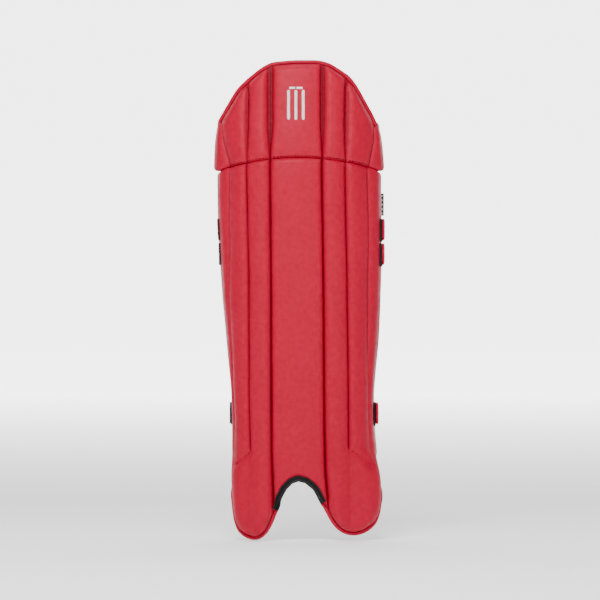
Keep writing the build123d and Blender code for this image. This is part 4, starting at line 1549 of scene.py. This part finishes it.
@dataclass
class StrapSet:
    """One closing strap: anchor, webbing, landing patch and pull tab."""

    name: str
    webbing: float = 0.030
    thick: float = 0.0022
    bow: float = 0.038
    straight: float = 84.0     # depth past which cloth on a wing runs straight on, in millimetres

    def conforming(self, name: str, node: str, proud: float, thick: float, slot: str) -> bpy.types.Object:
        """Flat cloth sewn to a wing's outer face, over the reach of its CAD node.

        Args:
            name: Name of the piece.
            node: CAD node whose reach it takes.
            proud: Distance above the cover, in millimetres.
            thick: Its own thickness, in millimetres.
            slot: Material slot.

        Returns:
            The piece.
        """
        low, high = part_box(node)
        left = (low.x + high.x) < 0
        made = slab_by(name, np.linspace(low.y, high.y, 14), np.linspace(low.z, high.z, 11),
                       lambda y, z: (self.wing_face(y, z, left, proud + thick),
                                     self.wing_face(y, z, left, proud), (y, z)))
        tidy_normals(made)
        return hand_over(made, slot, Body.SHIN.value, node)

    def wing_face(self, y: float, z: float, left: bool, proud: float) -> Vector:
        """Place on a wing's outer face, carried straight on past its rolled rear edge."""
        depth, height = y / MM - LAYOUT_SHIFT[1], z / MM - LAYOUT_SHIFT[2]
        sides = []
        for reach in (min(depth, self.straight), self.straight - 4, self.straight):
            w = self.column_for_depth(SHIN, reach, height, left)
            place = SHIN.spot(w, np.array([height]))
            sides.append(place.base[0, 0] - place.normal[0, 0] * (SHIN.crown(place) + proud))
        x = sides[0] + max(depth - self.straight, 0) * (sides[2] - sides[1]) / 4
        return Vector(to_frame(np.array([[x, depth, height]]))[0])

    @staticmethod
    def column_for_depth(section: Section, depth: float, height: float, left: bool) -> float:
        """Column of a wing whose base lies at a depth."""
        near, far = (1.4, 0.0) if left else (LAST - 1.4, float(LAST))
        for _ in range(16):
            middle = (near + far) / 2
            if section.spot(middle, np.array([height])).base[0, 1] < depth:
                near = middle
            else:
                far = middle
        return (near + far) / 2

    def strap(self) -> bpy.types.Object:
        """Webbing bowed from wing to wing behind the leg."""
        start = Vector(JOINTS[f"{self.name}_strap_swing"]["pos_m"])
        end = Vector(JOINTS[f"{self.name}_tab_peel"]["pos_m"])
        half = (end - start).length / 2
        radius = (self.bow ** 2 + half ** 2) / (2 * self.bow)
        middle = (start + end) / 2
        reach = math.asin(half / radius)
        turns = np.linspace(-reach, reach, STRAP_STEPS)
        path = np.column_stack([middle.x + radius * np.sin(turns),
                                middle.y + self.bow - radius * (1 - np.cos(turns)),
                                np.full(STRAP_STEPS, middle.z)])
        made = swept(f"{self.name}_strap_webbing", path, ribbon_profile(self.webbing, self.thick),
                     np.tile([0.0, 0.0, 1.0], (STRAP_STEPS, 1)))
        return hand_over(made, "strap_webbing", f"{self.name}_strap_body", f"{self.name}_strap")

    def tab(self) -> None:
        """Pull tab: a black core in a rounded red rim, with pale stitching."""
        low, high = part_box(f"{self.name}_tab")
        rim_low, rim_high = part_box(f"{self.name}_tab_rim")
        body = f"{self.name}_tab_body"
        core = self.pillow(f"{self.name}_tab_core", low, high, 0.0012, 0.0004)
        hand_over(core, "tab_black", body, f"{self.name}_tab")
        x = (rim_low.x + rim_high.x) / 2
        radius = (rim_high.x - rim_low.x) / 2
        front, rear = rim_low.y + radius, rim_high.y
        bottom, top = rim_low.z + radius, rim_high.z - radius
        corner, quarter = TAB_CORNER, np.linspace(0, math.pi / 2, 6)[1:-1]
        path = [(x, rear, bottom)]
        path += [(x, y, bottom) for y in np.linspace(rear - 0.004, front + corner, 10)]
        path += [(x, front + corner * (1 - math.sin(turn)), bottom + corner * (1 - math.cos(turn)))
                 for turn in quarter]
        path += [(x, front, z) for z in np.linspace(bottom + corner, top - corner, 6)]
        path += [(x, front + corner * (1 - math.cos(turn)), top - corner * (1 - math.sin(turn)))
                 for turn in quarter]
        path += [(x, y, top) for y in np.linspace(front + corner, rear, 10)]
        rim = swept(f"{self.name}_tab_round_rim", np.array(path), round_profile(radius, 12),
                    np.tile([1.0, 0, 0], (len(path), 1)))
        hand_over(rim, "tab_rim_red", body, f"{self.name}_tab_rim")
        face, edge = high.x + 0.0002, TAB_STITCHES
        line = [(face, y, low.z + edge) for y in np.linspace(high.y - edge, low.y + edge, 12)]
        line += [(face, low.y + edge, z) for z in np.linspace(low.z + 2 * edge, high.z - 2 * edge, 8)]
        line += [(face, y, high.z - edge) for y in np.linspace(low.y + edge, high.y - edge, 12)]
        height = (low.z + high.z) / 2 + TAB_MIDDLE
        middle = [(face, y, height) for y in np.linspace(low.y + edge, high.y - edge, 12)]
        for row, points in (("stitches", line), ("middle_stitches", middle)):
            STITCHING.sew(f"{self.name}_tab_{row}", [np.array(points)], body, PALE_THREAD, 0.0026, 0.0005)

    @staticmethod
    def pillow(name: str, low: Vector, high: Vector, soft: float, crown: float) -> bpy.types.Object:
        """Thin sewn cloth core with soft edges, in the y-z plane.

        Args:
            name: Name of the piece.
            low: Lowest corner of its box.
            high: Highest corner.
            soft: Reach of the soft edge.
            crown: Swell of either face.

        Returns:
            The core.
        """
        def place(u: float, v: float) -> tuple[tuple[float, ...], ...]:
            """Outer and inner point, and the cloth coordinates."""
            y, z = low.y + (high.y - low.y) * u, low.z + (high.z - low.z) * v
            gap = min(y - low.y, high.y - y, z - low.z, high.z - z)
            rise = crown * min(1.0, gap / TAB_SLOPE) - soft * 0.3 * max(0.0, 1 - gap / soft)
            return (high.x - crown + rise, y, z), (low.x + crown - rise, y, z), (y, z)

        made = slab_by(name, np.linspace(0, 1, 14), np.linspace(0, 1, 12), place)
        tidy_normals(made)
        return made

    def box_stitch(self, node: str, proud: float) -> list[np.ndarray]:
        """Sewn box inside a patch of cloth on a wing, with a cross on the left one."""
        low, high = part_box(node)
        left = (low.x + high.x) < 0
        inset = 0.003
        corners = [(low.y + inset, low.z + inset), (high.y - inset, low.z + inset),
                   (high.y - inset, high.z - inset), (low.y + inset, high.z - inset)]
        legs = [(0, 1), (1, 2), (2, 3), (3, 0)] + ([(0, 2), (1, 3)] if left else [])
        lines = []
        for a, b in legs:
            line = []
            for share in np.linspace(0, 1, 14):
                y = corners[a][0] * (1 - share) + corners[b][0] * share
                z = corners[a][1] * (1 - share) + corners[b][1] * share
                line.append(self.wing_face(y, z, left, proud))
            lines.append(np.array(line))
        return lines

    def build(self) -> None:
        """Makes the strap's pieces."""
        for piece, node, slot in (("anchor_webbing", "strap_anchor", "anchor_webbing"),
                                  ("landing_pile", "landing_patch", "loop_pile")):
            self.conforming(f"{self.name}_{piece}", f"{self.name}_{node}", 0.1, 1.2, slot)
        self.strap()
        self.tab()
        for piece, node in (("anchor", "strap_anchor"), ("patch", "landing_patch")):
            STITCHING.sew(f"{self.name}_{piece}_stitches", self.box_stitch(f"{self.name}_{node}", 1.4),
                          Body.SHIN.value, BLACK_THREAD, 0.0030, 0.0005)


LABEL_ROOT = 0.010         # how far the label's root runs in to the edge seam


def side_label() -> None:
    """Folded woven label that stands out from the right wing's rear edge."""
    low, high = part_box("side_label")
    low.x -= LABEL_ROOT
    width, length = high.x - low.x, high.z - low.z

    def place(u: float, v: float) -> tuple[tuple[float, ...], ...]:
        """Outer and inner point, and the cloth coordinates."""
        curl = 0.0005 * math.sin(math.pi * v) * u
        thin = (high.y - low.y) / 2 * (1 - 0.45 * u ** 6)
        middle = (low.y + high.y) / 2 + curl
        x, z = low.x + width * u, low.z + length * v
        return (x, middle - thin, z), (x, middle + thin, z), (width * u, length * v)

    made = slab_by("side_woven_label", np.linspace(0, 1, 9), np.linspace(0, 1, 15), place)
    tidy_normals(made)
    hand_over(made, "label_cloth", Body.SHIN.value, "side_label")


# --- Emblem on the knee ---


LONG_STEPS = np.concatenate([[0, 0.012, 0.035], np.linspace(0.07, 0.93, 16), [0.965, 0.988, 1]])
SHORT_STEPS = np.array([0, 0.12, 0.3, 0.5, 0.7, 0.88, 1])


@dataclass
class Emblem:
    """Three stumps and two bails, cut from white film and pressed on the knee's middle panel."""

    middle: float = -5.0
    low: float = 577.3
    high: float = 622.8
    pitch: float = 10.0
    stump: float = 3.8
    bail: float = 3.0
    proud: float = 0.85
    sunk: float = 0.3
    blunt: float = 0.05        # share of the width that is left at the very end of a strip
    gap: float = 1.2           # between the stumps' tops and the bails
    parted: float = 0.7        # half the gap between the bails

    def strip(self, name: str, x0: float, x1: float, z0: float, z1: float) -> bpy.types.Object:
        """One strip with round ends that follows the panel.

        Args:
            name: Name of the mesh.
            x0: Left side, in layout millimetres.
            x1: Right side.
            z0: Bottom.
            z1: Top.

        Returns:
            The strip.
        """
        tall = z1 - z0 > x1 - x0
        width, length = (x1 - x0, z1 - z0) if tall else (z1 - z0, x1 - x0)

        def place(u: float, v: float) -> tuple[Vector, Vector]:
            """Points on the film's face and just under the cover."""
            along, across = (v, u) if tall else (u, v)
            short = max(0.0, 1 - min(along, 1 - along) * length / (width / 2))
            squeeze = max(math.sqrt(1 - short ** 2), self.blunt)
            across = 0.5 + (across - 0.5) * squeeze
            x = x0 + (x1 - x0) * (across if tall else along)
            z = z0 + (z1 - z0) * (along if tall else across)
            w = KNEE.column_at(x, z)
            edge = min(1.0, 4 * (squeeze / 2 - abs(across - 0.5)) + 0.35)
            return KNEE.point(w, z, self.proud * edge), KNEE.point(w, z, -self.sunk)

        steps = (LONG_STEPS, SHORT_STEPS)
        return slab_by(name, steps[tall], steps[not tall], place)

    def build(self) -> None:
        """Makes the emblem as one piece."""
        top = self.high - self.bail
        strips = []
        for index in (-1, 0, 1):
            x, half = self.middle + index * self.pitch, self.stump / 2
            strips.append(self.strip(f"stump_{index}", x - half, x + half, self.low, top - self.gap))
        for index in (-1, 1):
            x, half = self.middle + index * self.pitch / 2, self.pitch / 2 - self.parted
            strips.append(self.strip(f"bail_{index}", x - half, x + half, top, self.high))
        hand_over(join("emblem_stumps_and_bails", strips), "emblem_white", None, "emblem")


def join(name: str, parts: Sequence[bpy.types.Object]) -> bpy.types.Object:
    """Joins meshes into one object and removes the parts."""
    shape = bmesh.new()
    for part in parts:
        shape.from_mesh(part.data)
    mesh = bpy.data.meshes.new(name)
    shape.to_mesh(mesh)
    shape.free()
    for part in parts:
        bpy.data.objects.remove(part)
    made = bpy.data.objects.new(name, mesh)
    bpy.context.scene.collection.objects.link(made)
    return made


# --- Stitching ---


@dataclass
class Stitching:
    """Runs of thread, made by one node tree that follows lines."""

    tree: bpy.types.NodeTree | None = None

    def make_tree(self) -> bpy.types.NodeTree:
        """Node tree: lines become curves, and a stitch lies along each step of them."""
        tree = bpy.data.node_groups.new("Stitch_rows", "GeometryNodeTree")
        for name, kind in (("Geometry", "Geometry"), ("Pitch", "Float"), ("Thread", "Float"),
                           ("Cover share", "Float"), ("Finish", "Material"), ("Seed", "Int")):
            tree.interface.new_socket(name=name, in_out="INPUT", socket_type=f"NodeSocket{kind}")
        tree.interface.new_socket(name="Geometry", in_out="OUTPUT", socket_type="NodeSocketGeometry")

        def add(kind: str, settings: dict | None = None, values: dict | None = None) -> bpy.types.Node:
            """Adds a node with its settings, values and links."""
            node = tree.nodes.new(kind)
            for key, value in (settings or {}).items():
                setattr(node, key, value)
            for key, value in (values or {}).items():
                if isinstance(value, bpy.types.NodeSocket):
                    tree.links.new(value, node.inputs[key])
                else:
                    node.inputs[key].default_value = value
            return node

        given = add("NodeGroupInput").outputs
        curve = add("GeometryNodeMeshToCurve", values={"Mesh": given["Geometry"]})
        even = add("GeometryNodeResampleCurve", {"mode": "LENGTH"},
                   {"Curve": curve.outputs[0], "Length": given["Pitch"]})
        stitch = add("GeometryNodeMeshUVSphere", values={"Segments": 8, "Rings": 5, "Radius": 1.0})
        long = add("ShaderNodeMath", {"operation": "MULTIPLY"}, {0: given["Pitch"], 1: given["Cover share"]})
        half = add("ShaderNodeMath", {"operation": "MULTIPLY"}, {0: long.outputs[0], 1: 0.5})
        size = add("ShaderNodeCombineXYZ",
                   values={"X": given["Thread"], "Y": given["Thread"], "Z": half.outputs[0]})
        tangent = add("GeometryNodeInputTangent")
        turn = add("FunctionNodeAlignRotationToVector", {"axis": "Z"}, {"Vector": tangent.outputs[0]})
        wobble = add("FunctionNodeRandomValue", {"data_type": "FLOAT_VECTOR"},
                     {"Min": (-0.06, -0.06, -0.06), "Max": (0.06, 0.06, 0.06), "Seed": given["Seed"]})
        lean = add("FunctionNodeRotateRotation", {"rotation_space": "LOCAL"},
                   {"Rotation": turn.outputs[0], "Rotate By": wobble.outputs[0]})
        rows = add("GeometryNodeInstanceOnPoints", values={
            "Points": even.outputs[0], "Instance": stitch.outputs[0], "Rotation": lean.outputs[0],
            "Scale": size.outputs[0]})
        real = add("GeometryNodeRealizeInstances", values={"Geometry": rows.outputs[0]})
        smooth_shade = add("GeometryNodeSetShadeSmooth", values={"Geometry": real.outputs[0]})
        dressed = add("GeometryNodeSetMaterial",
                      values={"Geometry": smooth_shade.outputs[0], "Material": given["Finish"]})
        add("NodeGroupOutput", values={"Geometry": dressed.outputs[0]})
        return tree

    def sew(self, name: str, lines: Sequence[np.ndarray], body: str | None, finish: Cloth, pitch: float,
            thread: float, cover: float = 0.78) -> bpy.types.Object:
        """Makes one piece of stitches along lines.

        Args:
            name: Name of the piece.
            lines: Points of each line, in metres.
            body: Body that it rides on, or None for a piece across the knee seam.
            finish: Thread.
            pitch: Length of one stitch with its gap.
            thread: Half the thread's thickness.
            cover: Share of the pitch that the thread covers.

        Returns:
            The piece.
        """
        self.tree = self.tree or self.make_tree()
        points, edges = [], []
        for line in lines:
            first = len(points)
            points.extend(tuple(point) for point in line)
            edges.extend((index, index + 1) for index in range(first, len(points) - 1))
        mesh = bpy.data.meshes.new(name)
        mesh.from_pydata(points, edges, [])
        piece = bpy.data.objects.new(name, mesh)
        bpy.context.scene.collection.objects.link(piece)
        modifier = piece.modifiers.new("Stitches", "NODES")
        modifier.node_group = self.tree
        settings = {"Pitch": pitch, "Thread": thread, "Cover share": cover,
                    "Finish": WARDROBE.get(finish), "Seed": 7}
        for item in self.tree.interface.items_tree:
            if item.in_out == "INPUT" and item.name in settings:
                modifier[item.identifier] = settings[item.name]
        apply_modifiers(piece)
        carry(piece, body)
        return piece


STITCHING = Stitching()
STITCH_PITCH, STITCH_THREAD = 0.0048, 0.00055
STITCH_PROUD = 0.35        # height of the threads above the cover, in millimetres


def groove_line(section: Section, index: int, low: float, high: float) -> np.ndarray:
    """Line along a groove's bottom.

    Args:
        section: The half of the pad.
        index: Crest line of the groove.
        low: Lowest height.
        high: Highest height.

    Returns:
        Points in the frame.
    """
    return np.array([section.point(float(index), float(height), STITCH_PROUD)
                     for height in np.arange(low, high, 4.0)])


def seam_line(section: Section, first: float, last: float, above: float) -> np.ndarray:
    """Line a distance above the knee seam, between two columns."""
    return np.array([section.point(float(w), float(section.low(w) + above), STITCH_PROUD)
                     for w in np.linspace(first, last, 90)])


def stitch_covers() -> None:
    """Sews the grooves, the knee seam and the ends of the outer channels."""
    shin = [groove_line(SHIN, index, low, SHIN.high(float(index)) - 8)
            for index, low in ((4, SHIN.low(4.0) + 9), (5, SHIN.low(5.0) + 9), (3, 124), (6, 129))]
    for (x0, z0), (x1, z1) in CHANNEL_ENDS:
        spots = [(x0 + (x1 - x0) * t, z0 + (z1 - z0) * t) for t in np.linspace(0.05, 0.92, 12)]
        shin.append(np.array([SHIN.point(SHIN.column_at(x, z), z, STITCH_PROUD) for x, z in spots]))
    knee = [groove_line(KNEE, index, KNEE.low(float(index)) + 7, KNEE.high(float(index)) - 6)
            for index in (3, 4, 5, 6)]
    for name, lines, body in (("shin_channel_stitches", shin, Body.SHIN.value),
                              ("knee_channel_stitches", knee, None),
                              ("knee_seam_stitches", [seam_line(KNEE, 2.05, 6.95, 2.4)], None)):
        STITCHING.sew(name, lines, body, RED_THREAD, STITCH_PITCH, STITCH_THREAD)


# --- Studio ---


# Name, place, height of the aim, size and watts.
LIGHTS = (
    ("Key_light", (-0.25, -1.7, 1.8), 0.50, 0.8, 63.0),
    ("Fill_light", (1.5, -2.6, 1.1), 0.35, 1.4, 9.0),
    ("Top_light", (0.0, 0.3, 2.6), 0.3, 1.4, 20.0),
)
FLOOR_GLOW, AIR_GLOW = 3.4, 0.20
COVE_START, COVE_RADIUS = 9.0, 3.0     # where the floor begins to curve up, and how roundly


@dataclass
class Studio:
    """Camera, lights and the pale floor."""

    distance: float = 6.0
    height: float = 0.3305
    frame_height: float = 0.8215
    lens: float = 100.0

    def camera(self) -> None:
        """Level camera straight in front."""
        data = bpy.data.cameras.new("Camera")
        data.lens = self.lens
        data.sensor_width = data.sensor_height = 2 * self.lens * math.tan(
            math.atan(self.frame_height / 2 / self.distance))
        seat = bpy.data.objects.new("Camera", data)
        seat.location = (0.0, -self.distance - 0.06, self.height)
        seat.rotation_euler = (math.pi / 2, 0, 0)
        bpy.context.scene.collection.objects.link(seat)
        bpy.context.scene.camera = seat

    def light(self, name: str, where: Colour, aim: Colour, size: float, power: float) -> None:
        """Square soft light turned to a point."""
        data = bpy.data.lights.new(name, "AREA")
        data.shape, data.size, data.energy = "SQUARE", size, power
        lamp = bpy.data.objects.new(name, data)
        lamp.location = where
        lamp.rotation_euler = (Vector(aim) - Vector(where)).to_track_quat("-Z", "Y").to_euler()
        bpy.context.scene.collection.objects.link(lamp)

    def floor(self) -> None:
        """Pale floor that curves up behind the object."""
        rows = [(-14.0, 0.0), (-3.0, 0.0), (0.0, 0.0), (COVE_START, 0.0)]
        rows += [(COVE_START + COVE_RADIUS * math.sin(t), COVE_RADIUS - COVE_RADIUS * math.cos(t))
                 for t in np.linspace(0.15, math.pi / 2, 9)]
        rows += [(COVE_START + COVE_RADIUS, 6.0), (COVE_START + COVE_RADIUS, 12.0)]
        points, faces = [], []
        for y, z in rows:
            points += [(-14.0, y, z), (14.0, y, z)]
        for index in range(len(rows) - 1):
            first = index * 2
            faces.append((first, first + 1, first + 3, first + 2))
        base = as_object("Studio_floor", np.array(points), faces)
        finish = Finish("Pale_floor")
        shade = finish.mix(finish.noise(3, 2) * 0.5, (0.93, 0.93, 0.93), (0.90, 0.90, 0.90))
        position = finish.node("ShaderNodeSeparateXYZ", values={"Vector": finish.place()}, out="Y")
        glow = finish.mix(position.between(1.2, COVE_START), (0.09, 0.09, 0.09), (1.0, 1.0, 1.0))
        finish.surface(Base_Color=shade, Roughness=0.9, Emission_Color=glow,
                       Emission_Strength=FLOOR_GLOW)
        base.data.materials.append(finish.material)

    def world(self) -> None:
        """Even pale surroundings."""
        world = bpy.data.worlds.new("Studio_air")
        world.use_nodes = True
        air = world.node_tree.nodes["Background"].inputs
        air["Color"].default_value = (1.0, 1.0, 1.0, 1.0)
        air["Strength"].default_value = AIR_GLOW
        bpy.context.scene.world = world

    def build(self) -> None:
        """Sets up the studio."""
        self.camera()
        self.floor()
        self.world()
        for name, where, height, size, power in LIGHTS:
            self.light(name, where, (0.0, 0.0, height), size, power)


SHIN = Section(False, SHIN_LINES, SHIN_DEPTHS, SHIN_GROOVES, CROWNS)
KNEE = Section(True, KNEE_LINES, KNEE_DEPTHS, KNEE_GROOVES, CROWNS, wrinkle=0.5, seam_shoulder=11.0)
PADDED_SHIN = PaddedHalf("shin", SHIN, rows=150)
PADDED_KNEE = PaddedHalf("knee", KNEE, rows=48)


def dress_boards() -> None:
    """Gives the two backing boards their fibre finish."""
    for name in ("shin_board", "knee_board"):
        for place in frame["nodes"][name].material_slots:
            place.material = WARDROBE.get(FINISHES["backing_board"])


def main() -> None:
    """Builds every sub-assembly in order."""
    logging.basicConfig(level=logging.INFO, format="%(message)s")
    Studio().build()
    PADDED_SHIN.build()
    PADDED_KNEE.build()
    Trim(SHIN, KNEE).build()
    for plan in CUSHIONS:
        half = PADDED_KNEE if plan.name.startswith("knee") else PADDED_SHIN
        CushionMaker(half, plan).build()
    for name in ("upper", "lower", "ankle"):
        StrapSet(name).build()
    side_label()
    Emblem().build()
    stitch_covers()
    dress_boards()


if __name__ == "__main__":
    main()
